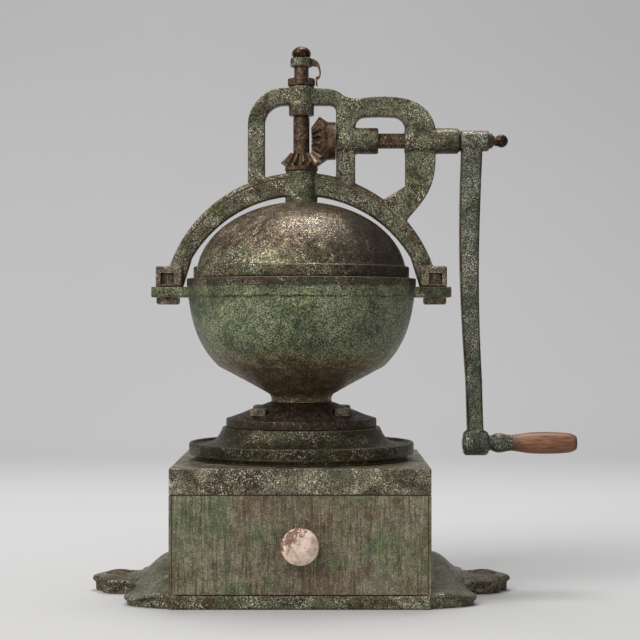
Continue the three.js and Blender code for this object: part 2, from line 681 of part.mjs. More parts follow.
function addBushes() {
  piece('lower_spindle_bush', tube(7.6, 11, 346.4, 371.7), BRONZE);
  const outer = SHAFT_BORE - GAP;
  const inner = SHAFT_RADIUS + GAP;
  piece('upper_spindle_bush', tube(SPINDLE_TOP_RADIUS + GAP, outer, 426.2, 452.3), BRONZE);
  piece('inner_shaft_bush', turnedAlongX(tubeProfile(inner, outer, 31.4, 68.8), SHAFT_Z), BRONZE);
  piece('outer_shaft_bush', turnedAlongX(tubeProfile(inner, outer, 92.9, 140.8), SHAFT_Z), BRONZE);
}

function addYokeBolts() {
  for (const [place, side] of [['right', 1], ['left', -1]]) {
    const x = side * YOKE_BOLT_X;
    const head = hexagon(19, 256.5, LUG_BOTTOM - GAP);
    const bolt = joined(head, rod(YOKE_BOLT_RADIUS, LUG_BOTTOM - 2, 286, 16)).rotate([0, 0, 8 * side]);
    piece(`yoke_bolt_${place}`, bolt.translate([x, 0, 0]), RUSTY_IRON);
    const nut = without(hexagon(11, 274.9, 284.2), rod(YOKE_BOLT_RADIUS + GAP, 270, 290, 16));
    piece(`yoke_nut_${place}`, nut.translate([x, 0, 0]), DARK_STEEL);
  }
}

// ---- Gears, shaft and crank ----

/** One end of a bevel gear's teeth about Z, with the cone's apex at the origin. */
function bevelRing(teeth, mate, scale, towards, turn) {
  const radius = (teeth * GEAR_MODULE) / 2;
  const distance = (mate * GEAR_MODULE) / 2;
  const cone = Math.hypot(radius, distance);
  const outward = point(distance / cone, radius / cone);
  const addendum = 1.8;
  const dedendum = 2.4;
  const halfTooth = 0.2 * Math.PI * GEAR_MODULE;
  const flank = 0.42;
  const corners = [
    [-1, -dedendum], [-1, addendum], [1, addendum], [1, -dedendum],
  ];
  const ring = [];
  for (let i = 0; i < teeth; i += 1) {
    for (const [hand, height] of corners) {
      const r = (radius + outward.x * height) * scale;
      const z = (distance - outward.y * height) * scale * towards;
      const half = (halfTooth - height * flank) / radius;
      const angle = (i / teeth) * 2 * Math.PI + hand * half + turn;
      ring.push(new THREE.Vector3(r * Math.cos(angle), r * Math.sin(angle), z));
    }
  }
  return ring;
}

/** A plain circle with its points at the same angles as another ring. */
function circleLike(ring, radius, z) {
  return ring.map((corner) => {
    const angle = Math.atan2(corner.y, corner.x);
    return new THREE.Vector3(radius * Math.cos(angle), radius * Math.sin(angle), z);
  });
}

/** The pin through hub and shaft, or with more radius and reach the hole for it. */
const crossPin = (radius, reach) =>
  rod(radius, SHAFT_Z - reach, SHAFT_Z + reach, 12).translate([GEAR_PIN.x, 0, 0]);

function addDriveGear() {
  const small = bevelRing(DRIVE_TEETH, DRIVEN_TEETH, GEAR_FACE, 1, 0);
  const large = bevelRing(DRIVE_TEETH, DRIVEN_TEETH, 1, 1, 0);
  const front = 10.2;
  const back = 30.8;
  const bore = SHAFT_RADIUS + GAP;
  const rings = [
    small, large, circleLike(large, 17.2, 23.4), circleLike(large, 16.8, back),
    circleLike(large, bore, back), circleLike(small, bore, front),
  ];
  const body = solid(ringLoft(rings).rotateY(Math.PI / 2).translate(0, 0, SHAFT_Z));
  piece('drive_gear', without(body, crossPin(GEAR_PIN.radius + GAP, 25)), DARK_STEEL);
  piece('gear_pin', crossPin(GEAR_PIN.radius, 16.8), DARK_STEEL);
}

function addDrivenGear() {
  const turn = Math.PI / DRIVEN_TEETH;
  const small = bevelRing(DRIVEN_TEETH, DRIVE_TEETH, GEAR_FACE, -1, turn);
  const large = bevelRing(DRIVEN_TEETH, DRIVE_TEETH, 1, -1, turn);
  const bottom = 376 + GAP - SHAFT_Z;
  const top = small[0].z;
  const rings = [
    circleLike(large, 14.4, bottom), circleLike(large, 14.9, bottom + 0.8),
    circleLike(large, 14.6, bottom + 4), large, small,
    circleLike(small, SPINDLE_RADIUS + GAP, top), circleLike(large, SPINDLE_RADIUS + GAP, bottom),
  ];
  const body = solid(ringLoft(rings).translate(0, 0, SHAFT_Z));
  const keyway = box(-9.6, 0, -1.9, 1.9, 370, 386);
  piece('driven_gear', without(body, keyway), DARK_STEEL);
}

function addDriveShaft() {
  const shaft = turnedAlongX([
    point(0, 10.6), point(SHAFT_RADIUS, 10.6), point(SHAFT_RADIUS, 168.2), point(3, 168.2),
    point(3, 177), point(0, 177),
  ], SHAFT_Z);
  piece('drive_shaft', without(shaft, crossPin(GEAR_PIN.radius + GAP, 10)), RUSTY_IRON);
  const washer = tubeProfile(SHAFT_RADIUS + GAP, 9.9, 141.3, 142.5);
  piece('thrust_washer', turnedAlongX(washer, SHAFT_Z), BRONZE);
  const hubNut = [
    point(3.3, 168.8), point(6.8, 168.8), point(6.8, 170.6), point(4.4, 173.4), point(3.3, 173.4),
  ];
  piece('hub_nut', turnedAlongX(hubNut, SHAFT_Z), RUSTY_IRON);
  const ball = [];
  for (let degrees = 54; degrees <= 180; degrees += 21) {
    const angle = THREE.MathUtils.degToRad(degrees);
    ball.push(point(degrees === 180 ? 0 : 5.9 * Math.sin(angle), 179.8 - 5.9 * Math.cos(angle)));
  }
  const bore = [point(0, 177.4), point(3.3, 177.4), point(3.3, 173.8), point(4.4, 173.8)];
  piece('ball_nut', turnedAlongX([...bore, ...ball], SHAFT_Z, 20), BRONZE);
}

/** Middle of the crank arm at a part of its length, counted from the shaft. */
function armCentre(along) {
  return CRANK_X - 2.9 * Math.sin(Math.PI * Math.min(along / 0.8, 1)) + 3.1 * along ** 4;
}

/** Width of the crank arm at the same place. */
const armWidth = (along) => 19 - 4.4 * THREE.MathUtils.smoothstep(along, 0.05, 0.9);

function addCrankArm() {
  const right = [];
  const left = [];
  const steps = 12;
  for (let i = 0; i <= steps; i += 1) {
    const along = i / steps;
    const z = SHAFT_Z + 5 - (CRANK_RADIUS + 5) * along;
    right.push(point(armCentre(along) + armWidth(along) / 2, z));
    left.push(point(armCentre(along) - armWidth(along) / 2, z));
  }
  const bar = plateInXZ(new THREE.Shape([...left, ...right.reverse()]), 13, 3);
  const hub = turnedAlongX([
    point(0, 142.8), point(8.6, 142.8), point(9.3, 143.6), point(9.3, 167.6), point(8.6, 168.4),
    point(0, 168.4),
  ], SHAFT_Z, 20);
  const eye = turnedAlongX([
    point(0, 145.5), point(9.2, 145.5), point(11.2, 147.6), point(11.2, 165.6), point(9.2, 168),
    point(0, 168),
  ], GRIP_Z, 20);
  const shaftHole = turnedAlongX(rodProfile(SHAFT_RADIUS + GAP, 138, 172), SHAFT_Z);
  const pinHole = turnedAlongX(rodProfile(4.3, 140, 172), GRIP_Z, 16);
  piece('crank_arm', without(joined(bar, hub, eye), shaftHole, pinHole), SPECKLED_IRON);
}

/** The fixed pin that the grip turns on, riveted into the eye and headed at its far end. */
function addGrip() {
  const pin = [
    point(0, 144.4), point(6, 144.9), point(6, 145.2), point(4, 145.2), point(4, 168.3),
    point(4, 246.4), point(0, 246.4),
  ];
  piece('grip_spindle', turnedAlongX(pin, GRIP_Z, 16), DARK_STEEL);
  const ferrule = [
    point(4.4, 168.6), point(6.9, 168.6), point(6.7, 170.6), point(8, 173.4), point(8.7, 176.4),
    point(8.5, 180), point(7.5, 185), point(7.1, 189), point(4.4, 189),
  ];
  piece('grip_ferrule', turnedAlongX(ferrule, GRIP_Z), PATINA);
  const body = new THREE.SplineCurve([
    point(7, 189.4), point(8.2, 197), point(9.4, 206), point(9.8, 217), point(9.6, 230),
    point(8.6, 241), point(6.4, 246.2),
  ]).getPoints(9);
  const ends = [point(5.5, 247.2), point(4.4, 247.6), point(4.4, 189.4)];
  piece('wooden_grip', turnedAlongX([...body, ...ends], GRIP_Z), GRIP_WOOD);
}

// ---- Spindle and grind adjustment ----

function addSpindle() {
  const body = turned([
    point(0, 119.6), point(6, 119.6), point(6, 134.3), point(8, 134.3), point(8, 162),
    point(SPINDLE_RADIUS, 163.4), point(SPINDLE_RADIUS, 424.4), point(SPINDLE_TOP_RADIUS, 425),
    point(SPINDLE_TOP_RADIUS, 478.2), point(3.4, 478.2), point(3.4, 484), point(0, 484),
  ], SMALL_ROUND);
  const feather = box(-9.2, -5, -1.5, 1.5, 377.4, 384.6);
  piece('main_spindle', joined(body, feather), RUSTY_IRON);
  piece('burr_nut', without(hexagon(19, 130.6, 134), rod(6.3, 125, 140)), DARK_STEEL);
}

function addAdjustment() {
  const notch = box(11.2, 14, -1.1, 1.1, 450, 470);
  const notches = Array.from({ length: 8 }, (_, i) => notch.rotate([0, 0, i * 45 + 22.5]));
  const nut = turned([
    point(6.8, 452.9), point(11.6, 452.9), point(12.2, 453.5), point(12.2, 458.8), point(11.5, 459.4),
    point(6.8, 459.4),
  ], 24);
  piece('adjusting_nut', without(nut, ...notches), RUSTY_IRON);
  const collar = turned([
    point(6.8, 470), point(9.3, 470), point(9.9, 470.8), point(9.9, 477), point(9.2, 477.9),
    point(6.8, 477.9),
  ], SMALL_ROUND);
  piece('pawl_collar', without(collar, box(8.2, 12, -3.3, 3.3, 468, 480)), PATINA);
  const crown = [80, 65, 50, 35, 20, 0].map((degrees) => {
    const angle = THREE.MathUtils.degToRad(degrees);
    return point(degrees === 0 ? 0 : 8.6 * Math.sin(angle), 481.6 + 6.8 * Math.cos(angle));
  });
  const nutBottom = [
    point(0, 484.6), point(3.7, 484.6), point(3.7, 478.6), point(7.6, 478.6), point(8.5, 480.6),
  ];
  piece('acorn_nut', turned([...nutBottom, ...crown], SMALL_ROUND), BRONZE);
}

/** The bowed spring leaf that hooks over the rim of the adjusting nut. */
function addPawl() {
  const shape = new THREE.Shape();
  shape.moveTo(8.6, 471);
  shape.lineTo(14.4, 470.4);
  shape.quadraticCurveTo(17.2, 465, 15.4, 461.6);
  shape.lineTo(12.9, 460.8);
  shape.lineTo(12.8, 454.4);
  shape.lineTo(14.6, 452.2);
  shape.lineTo(14.2, 458.6);
  shape.quadraticCurveTo(19.6, 461.4, 16.2, 471.8);
  shape.quadraticCurveTo(13.6, 477, 8.6, 477.4);
  piece('spring_pawl', plateInXZ(shape, 6, 0, 6), RUSTY_IRON);
}

addBaseCasting();
addBaseScrews();
addEarScrews();
addPanels();
addRunners();
addDrawer();
addKnob();
addTopPlate();
addPedestal();
addBurrHousing();
addBurrs();
addBearingBridge();
addHopperBowl();
addDomeLid();
addHatch();
addYoke();
addBushes();
addYokeBolts();
addDriveGear();
addDrivenGear();
addDriveShaft();
addCrankArm();
addGrip();
addSpindle();
addAdjustment();
addPawl();

export default group;
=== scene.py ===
"""Hand crank coffee grinder: its visible surfaces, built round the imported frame.

Shapes are drawn in millimetres in the frame's axes and become metres when a piece is made.
"""
import json
import math

import bmesh
import bpy
from mathutils import Matrix, Vector


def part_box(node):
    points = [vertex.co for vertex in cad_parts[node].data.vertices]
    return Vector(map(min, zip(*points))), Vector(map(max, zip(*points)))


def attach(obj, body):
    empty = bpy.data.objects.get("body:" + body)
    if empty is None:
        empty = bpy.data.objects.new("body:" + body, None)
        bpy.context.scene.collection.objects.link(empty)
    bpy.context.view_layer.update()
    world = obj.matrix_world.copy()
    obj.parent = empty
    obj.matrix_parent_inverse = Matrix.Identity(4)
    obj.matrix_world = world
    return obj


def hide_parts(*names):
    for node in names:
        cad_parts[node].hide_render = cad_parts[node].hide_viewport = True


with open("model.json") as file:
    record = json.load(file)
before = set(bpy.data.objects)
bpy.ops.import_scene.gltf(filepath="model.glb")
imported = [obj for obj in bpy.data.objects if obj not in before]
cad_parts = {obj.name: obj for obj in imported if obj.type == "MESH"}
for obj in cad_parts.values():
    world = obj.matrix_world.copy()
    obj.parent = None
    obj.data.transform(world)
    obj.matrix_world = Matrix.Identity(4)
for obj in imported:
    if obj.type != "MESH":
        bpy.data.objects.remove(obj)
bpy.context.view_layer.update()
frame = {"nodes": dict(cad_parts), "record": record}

MM = 0.001
MIDDLE = Vector((0, 0, 0.25))
RECORD = frame["record"]
BODY_OF = {node: body for body, nodes in RECORD["behaviour"]["bodies"].items() for node in nodes}
SLOT_OF = {row["node"]: row["material_slot"] for row in RECORD["subparts"]}


def span(node, axis):
    """Lowest and highest place of a CAD node along an axis, in millimetres."""
    low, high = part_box(node)
    index = "xyz".index(axis)
    return low[index] / MM, high[index] / MM


# ---- Sizes, most of them read from the frame ----

GAP = 0.3
HALF = span("top_plate", "x")[1]
SLAB_TOP = span("side_panel_right", "z")[0] - GAP
FOOT_Z, FLANGE_Z = span("pedestal", "z")
NECK_TOP = span("burr_housing", "z")[1]
RIM_Z = span("hopper_bowl", "z")[1]
LUG_REACH = span("hopper_bowl", "x")[1]
DOME_LOW = span("dome_lid", "z")[0]
HINGE_Y = sum(span("hatch_hinge_pin", "y")) / 2
HINGE_Z = sum(span("hatch_hinge_pin", "z")) / 2
YOKE_BOLT_X = sum(span("yoke_nut_right", "x")) / 2
LUG_TOP = span("yoke_frame", "z")[0] - GAP
SHAFT_Z = sum(span("thrust_washer", "z")) / 2
SHAFT_RADIUS = 6.8
YOKE_BOLT_RADIUS = 3.2
FOOT_HALF = 12
NUT_POCKET_BACK = 8
GRIP_Z = sum(span("wooden_grip", "z")) / 2
KNOB_Z = sum(span("drawer_knob", "z")) / 2
KNOB_BACK = -span("drawer_knob", "y")[1]
EAR_X = sum(span("ear_screw_right", "x")) / 2
SPINDLE_TOP = span("main_spindle", "z")[1]


def linked(name, data):
    """A new object in the scene."""
    thing = bpy.data.objects.new(name, data)
    bpy.context.scene.collection.objects.link(thing)
    return thing


# ---- Camera, stage and lights ----


def add_camera():
    data = bpy.data.cameras.new("camera")
    data.sensor_width = 36
    data.lens = 98.2
    data.clip_end = 30
    camera = linked("camera", data)
    camera.location = (0.0167, -1.570, 0.2426)
    camera.rotation_euler = (math.radians(90), 0, 0)
    bpy.context.scene.camera = camera


def add_light(name, place, size, power, colour):
    """A soft square light that points at the middle of the mill."""
    data = bpy.data.lights.new(name, "AREA")
    data.size = size
    data.energy = power
    data.color = colour
    light = linked(name, data)
    light.location = place
    light.rotation_euler = (MIDDLE - Vector(place)).to_track_quat("-Z", "Y").to_euler()


def add_lights():
    add_light("key", (-1.35, -1.35, 1.95), 1.5, 66, (1.0, 0.985, 0.955))
    add_light("fill", (0.2, -2.6, 0.7), 1.8, 12, (1.0, 0.99, 0.97))
    add_light("top", (0.1, 0.45, 2.1), 0.8, 32, (1.0, 0.99, 0.97))
    world = bpy.data.worlds.new("studio")
    world.use_nodes = True
    sky = world.node_tree.nodes["Background"]
    sky.inputs["Color"].default_value = (1.0, 0.995, 0.985, 1)
    sky.inputs["Strength"].default_value = 0.42
    bpy.context.scene.world = world


def add_backdrop(material):
    """A pale floor that curves up into a wall."""
    front, bend, radius, top, width = -9.0, 1.5, 0.9, 4.5, 9.0
    line = [(front, 0.0), (bend, 0.0)]
    for step in range(1, 25):
        angle = math.radians(90 * step / 24)
        line.append((bend + radius * math.sin(angle), radius * (1 - math.cos(angle))))
    line.append((bend + radius, top))
    vertices = [(x, y, z) for y, z in line for x in (-width, width)]
    faces = [(2 * i, 2 * i + 1, 2 * i + 3, 2 * i + 2) for i in range(len(line) - 1)]
    mesh = bpy.data.meshes.new("backdrop")
    mesh.from_pydata(vertices, [], faces)
    mesh.shade_smooth()
    mesh.materials.append(material)
    linked("backdrop", mesh)


# ---- Lines and curves, in millimetres ----


def bezier(points, steps):
    """Points along a Bezier curve of any degree."""
    line = []
    for step in range(steps + 1):
        part = step / steps
        level = [Vector(p) for p in points]
        while len(level) > 1:
            level = [a.lerp(b, part) for a, b in zip(level, level[1:])]
        line.append(tuple(level[0]))
    return line


def onward(line, steps, *points):
    """Adds a Bezier curve that starts where the line ends."""
    line.extend(bezier([line[-1], *points], steps)[1:])


def arc(centre, radius, start, end, steps):
    """Points on a circle, or an ellipse if radius is a pair; angles are in degrees."""
    wide, high = radius if isinstance(radius, tuple) else (radius, radius)
    angles = [math.radians(start + (end - start) * i / steps) for i in range(steps + 1)]
    return [(centre[0] + wide * math.cos(a), centre[1] + high * math.sin(a)) for a in angles]


def smooth_line(points, steps):
    """A Catmull-Rom curve through the points."""
    ends = [points[0], *points, points[-1]]
    line = [points[0]]
    for a, b, c, d in zip(ends, ends[1:], ends[2:], ends[3:]):
        a, b, c, d = map(Vector, (a, b, c, d))
        for step in range(1, steps + 1):
            t = step / steps
            bend = (2 * a - 5 * b + 4 * c - d) * t + (3 * b - a - 3 * c + d) * t * t
            line.append(tuple(b + (c - a + bend) * t / 2))
    return line


def rounded(points, radius, steps=3):
    """The same line with its sharp inner corners rounded."""
    line = [points[0]]
    for before, here, after in zip(points, points[1:], points[2:]):
        before, here, after = map(Vector, (before, here, after))
        back, ahead = before - here, after - here
        if back.length < 1e-6 or ahead.length < 1e-6 or math.pi - back.angle(ahead) < math.radians(14):
            line.append(tuple(here))
            continue
        cut = min(radius, 0.45 * back.length, 0.45 * ahead.length)
        line += bezier([here + back.normalized() * cut, here, here + ahead.normalized() * cut], steps)
    return [*line, points[-1]]


def beside(points, distance):
    """The line moved sideways, to the left of its own direction."""
    line = []
    for i, here in enumerate(points):
        before, after = points[max(i - 1, 0)], points[min(i + 1, len(points) - 1)]
        run = (Vector(after) - Vector(before)).normalized()
        line.append((here[0] - run.y * distance, here[1] + run.x * distance))
    return line


# ---- Shapes: vertices in millimetres, and faces ----


class Shape:
    def __init__(self, vertices, faces):
        self.vertices = [Vector(v) for v in vertices]
        self.faces = [tuple(f) for f in faces]

    def __add__(self, other):
        start = len(self.vertices)
        moved = [tuple(i + start for i in face) for face in other.faces]
        return Shape(self.vertices + other.vertices, self.faces + moved)

    def changed(self, matrix):
        return Shape([matrix @ v for v in self.vertices], self.faces)

    def moved(self, x=0, y=0, z=0):
        return self.changed(Matrix.Translation((x, y, z)))

    def turned(self, degrees, axis="Z"):
        return self.changed(Matrix.Rotation(math.radians(degrees), 4, axis))


def lathe(profile, segments=96):
    """A round shape about Z from its half section, given as (radius, height)."""
    vertices, rings = [], []
    turns = [2 * math.pi * i / segments for i in range(segments)]
    for radius, height in profile:
        start = len(vertices)
        if radius < 1e-6:
            rings.append([start] * segments)
            vertices.append((0, 0, height))
        else:
            rings.append([start + i for i in range(segments)])
            vertices += [(radius * math.cos(t), radius * math.sin(t), height) for t in turns]
    pairs = list(zip(rings, rings[1:]))
    if profile[0][0] > 1e-6:
        pairs.append((rings[-1], rings[0]))
    faces = []
    for low, high in pairs:
        for i in range(segments):
            j = (i + 1) % segments
            face = list(dict.fromkeys((low[i], low[j], high[j], high[i])))
            if len(face) > 2:
                faces.append(face)
    return Shape(vertices, faces)


def lathe_x(profile, z, segments=64):
    """A round shape about a line along X, given as (radius, x)."""
    return lathe(profile, segments).turned(90, "Y").moved(z=z)


def rod_profile(radius, low, high):
    """Half section of a solid cylinder."""
    return [(0, low), (radius, low), (radius, high), (0, high)]


def rod(radius, low, high, segments=64):
    return lathe(rod_profile(radius, low, high), segments)


def rod_x(radius, low, high, z, segments=64):
    return lathe_x(rod_profile(radius, low, high), z, segments)


def ring_profile(inner, outer, low, high, edge=0.3):
    """Half section of a plain bush or washer with eased edges."""
    return [
        (inner, low), (outer - edge, low), (outer, low + edge), (outer, high - edge),
        (outer - edge, high), (inner, high),
    ]


def block(x0, x1, y0, y1, z0, z1):
    corners = [(x, y, z) for z in (z0, z1) for y in (y0, y1) for x in (x0, x1)]
    faces = [(0, 2, 3, 1), (4, 5, 7, 6), (0, 1, 5, 4), (2, 6, 7, 3), (0, 4, 6, 2), (1, 3, 7, 5)]
    return Shape(corners, faces)


def hexagon(across, low, high):
    """A six-sided prism about Z whose upper corners are turned down to a circle."""
    chamfer, segments = 0.9, 72
    turns = [2 * math.pi * i / segments for i in range(segments)]
    sixth = math.pi / 3
    flat = across / 2
    sides = [flat / math.cos((t + sixth / 2) % sixth - sixth / 2) for t in turns]
    circle = flat - 0.3
    drop = [max(side - flat, 0) * chamfer for side in sides]
    vertices = [(0, 0, low)]
    levels = [
        [(side, low) for side in sides],
        [(side, high - 0.35 - d) for side, d in zip(sides, drop)],
        [(circle, high)] * segments,
    ]
    for level in levels:
        vertices += [(r * math.cos(t), r * math.sin(t), h) for t, (r, h) in zip(turns, level)]
    vertices.append((0, 0, high))
    top = len(vertices) - 1
    faces = []
    for i in range(segments):
        j = (i + 1) % segments
        faces.append((0, 1 + j, 1 + i))
        for k in range(len(levels) - 1):
            a, b = 1 + k * segments, 1 + (k + 1) * segments
            faces.append((a + i, a + j, b + j, b + i))
        last = 1 + (len(levels) - 1) * segments
        faces.append((last + i, last + j, top))
    return Shape(vertices, faces)


def cleaned(mesh, distance):
    """The mesh with points this close joined and its faces turned outwards."""
    work = bmesh.new()
    work.from_mesh(mesh)
    bmesh.ops.remove_doubles(work, verts=work.verts, dist=distance)
    bmesh.ops.recalc_face_normals(work, faces=work.faces)
    work.to_mesh(mesh)
    work.free()
    return mesh


def mesh_of(shape):
    """A Blender mesh of a shape, still in millimetres."""
    mesh = bpy.data.meshes.new("shape")
    mesh.from_pydata([tuple(v) for v in shape.vertices], [], shape.faces)
    return cleaned(mesh, 1e-4)


def opposite(mesh):
    """A copy of the mesh, turned half round about Z."""
    other = mesh.copy()
    other.transform(Matrix.Rotation(math.pi, 4, "Z"))
    return other


def final_mesh(thing):
    """The mesh of an object as it looks with its curve or modifiers worked out, instead of the object."""
    bpy.context.view_layer.update()
    graph = bpy.context.evaluated_depsgraph_get()
    mesh = bpy.data.meshes.new_from_object(thing.evaluated_get(graph))
    bpy.data.objects.remove(thing)
    return mesh


def after_modifiers(mesh, *steps):
    """The mesh after a list of modifiers, each given as (kind, settings)."""
    thing = linked("work", mesh)
    for kind, settings in steps:
        modifier = thing.modifiers.new(kind, kind)
        for key, value in settings.items():
            setattr(modifier, key, value)
    return final_mesh(thing)


def combined(mesh, tools, operation):
    """Joins the tools to the mesh, cuts them from it or keeps what they share."""
    helpers = []
    steps = []
    for tool in tools:
        helper = linked("tool", tool if isinstance(tool, bpy.types.Mesh) else mesh_of(tool))
        helpers.append(helper)
        steps.append(("BOOLEAN", {"operation": operation, "object": helper, "solver": "MANIFOLD"}))
    result = after_modifiers(mesh, *steps)
    for helper in helpers:
        bpy.data.objects.remove(helper)
    return result


def cut(mesh, *tools):
    return combined(mesh, tools, "DIFFERENCE")


def join(mesh, *tools):
    return combined(mesh, tools, "UNION")


def cast_surface(mesh, voxel, passes):
    """The mesh as one soft-edged casting, with a fillet wherever its parts meet."""
    return after_modifiers(
        mesh,
        ("REMESH", {"mode": "VOXEL", "voxel_size": voxel, "use_smooth_shade": True}),
        ("SMOOTH", {"factor": 0.5, "iterations": passes}),
    )


def eased(mesh, width, segments=2, angle=30):
    """The mesh with its sharp edges bevelled."""
    work = bmesh.new()
    work.from_mesh(mesh)
    bmesh.ops.remove_doubles(work, verts=work.verts, dist=1e-3)
    bmesh.ops.dissolve_limit(work, angle_limit=math.radians(0.5), verts=work.verts, edges=work.edges)
    sharp = [e for e in work.edges if e.is_manifold and e.calc_face_angle(0) > math.radians(angle)]
    bmesh.ops.bevel(
        work, geom=sharp, offset=width, segments=segments, profile=0.6, affect="EDGES", clamp_overlap=True,
    )
    bmesh.ops.triangulate(work, faces=[f for f in work.faces if len(f.verts) > 4])
    result = bpy.data.meshes.new("eased")
    work.to_mesh(result)
    work.free()
    return result


def cad_mesh(node):
    """A copy of a CAD node's mesh, in millimetres."""
    mesh = frame["nodes"][node].data.copy()
    mesh.transform(Matrix.Scale(1 / MM, 4))
    mesh.materials.clear()
    return mesh


def plate(outlines, depth, edge):
    """A flat plate about Y = 0 from outlines in X and Z, with round edges; inner outlines are holes."""
    curve = bpy.data.curves.new("outline", "CURVE")
    curve.dimensions = "2D"
    curve.fill_mode = "BOTH"
    curve.extrude = depth / 2 - edge
    curve.bevel_depth = edge
    curve.bevel_resolution = 2
    curve.offset = -edge
    for outline in outlines:
        spline = curve.splines.new("POLY")
        spline.points.add(len(outline) - 1)
        for spot, (x, z) in zip(spline.points, outline):
            spot.co = (x, z, 0, 1)
        spline.use_cyclic_u = True
    mesh = final_mesh(linked("outline", curve))
    mesh.transform(Matrix.Rotation(math.radians(90), 4, "X"))
    return cleaned(mesh, 1e-3)


def place(node, shape, finish, sharp=32, flat=False):
    """Makes the fine piece that stands for a CAD node and moves with the same body.

    flat is for a piece with large flat faces, which then keep an even shading up to their edges.
    """
    mesh = shape if isinstance(shape, bpy.types.Mesh) else mesh_of(shape)
    mesh.transform(Matrix.Scale(MM, 4))
    mesh.shade_smooth()
    mesh.set_sharp_from_angle(angle=math.radians(sharp))
    if flat:
        mesh = after_modifiers(mesh, ("WEIGHTED_NORMAL", {"keep_sharp": True, "weight": 100}))
    mesh.materials.clear()
    mesh.materials.append(FINISHES[finish])
    mesh.name = f"fine_{node}"
    piece = linked(mesh.name, mesh)
    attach(piece, BODY_OF[node])
    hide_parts(node)


# ---- Materials ----


def rgb(code):
    """A screen colour such as 'a08060' as the linear colour that shaders take."""
    parts = [int(code[i:i + 2], 16) / 255 for i in (0, 2, 4)]
    linear = [p / 12.92 if p <= 0.04045 else ((p + 0.055) / 1.055) ** 2.4 for p in parts]
    return (*linear, 1.0)


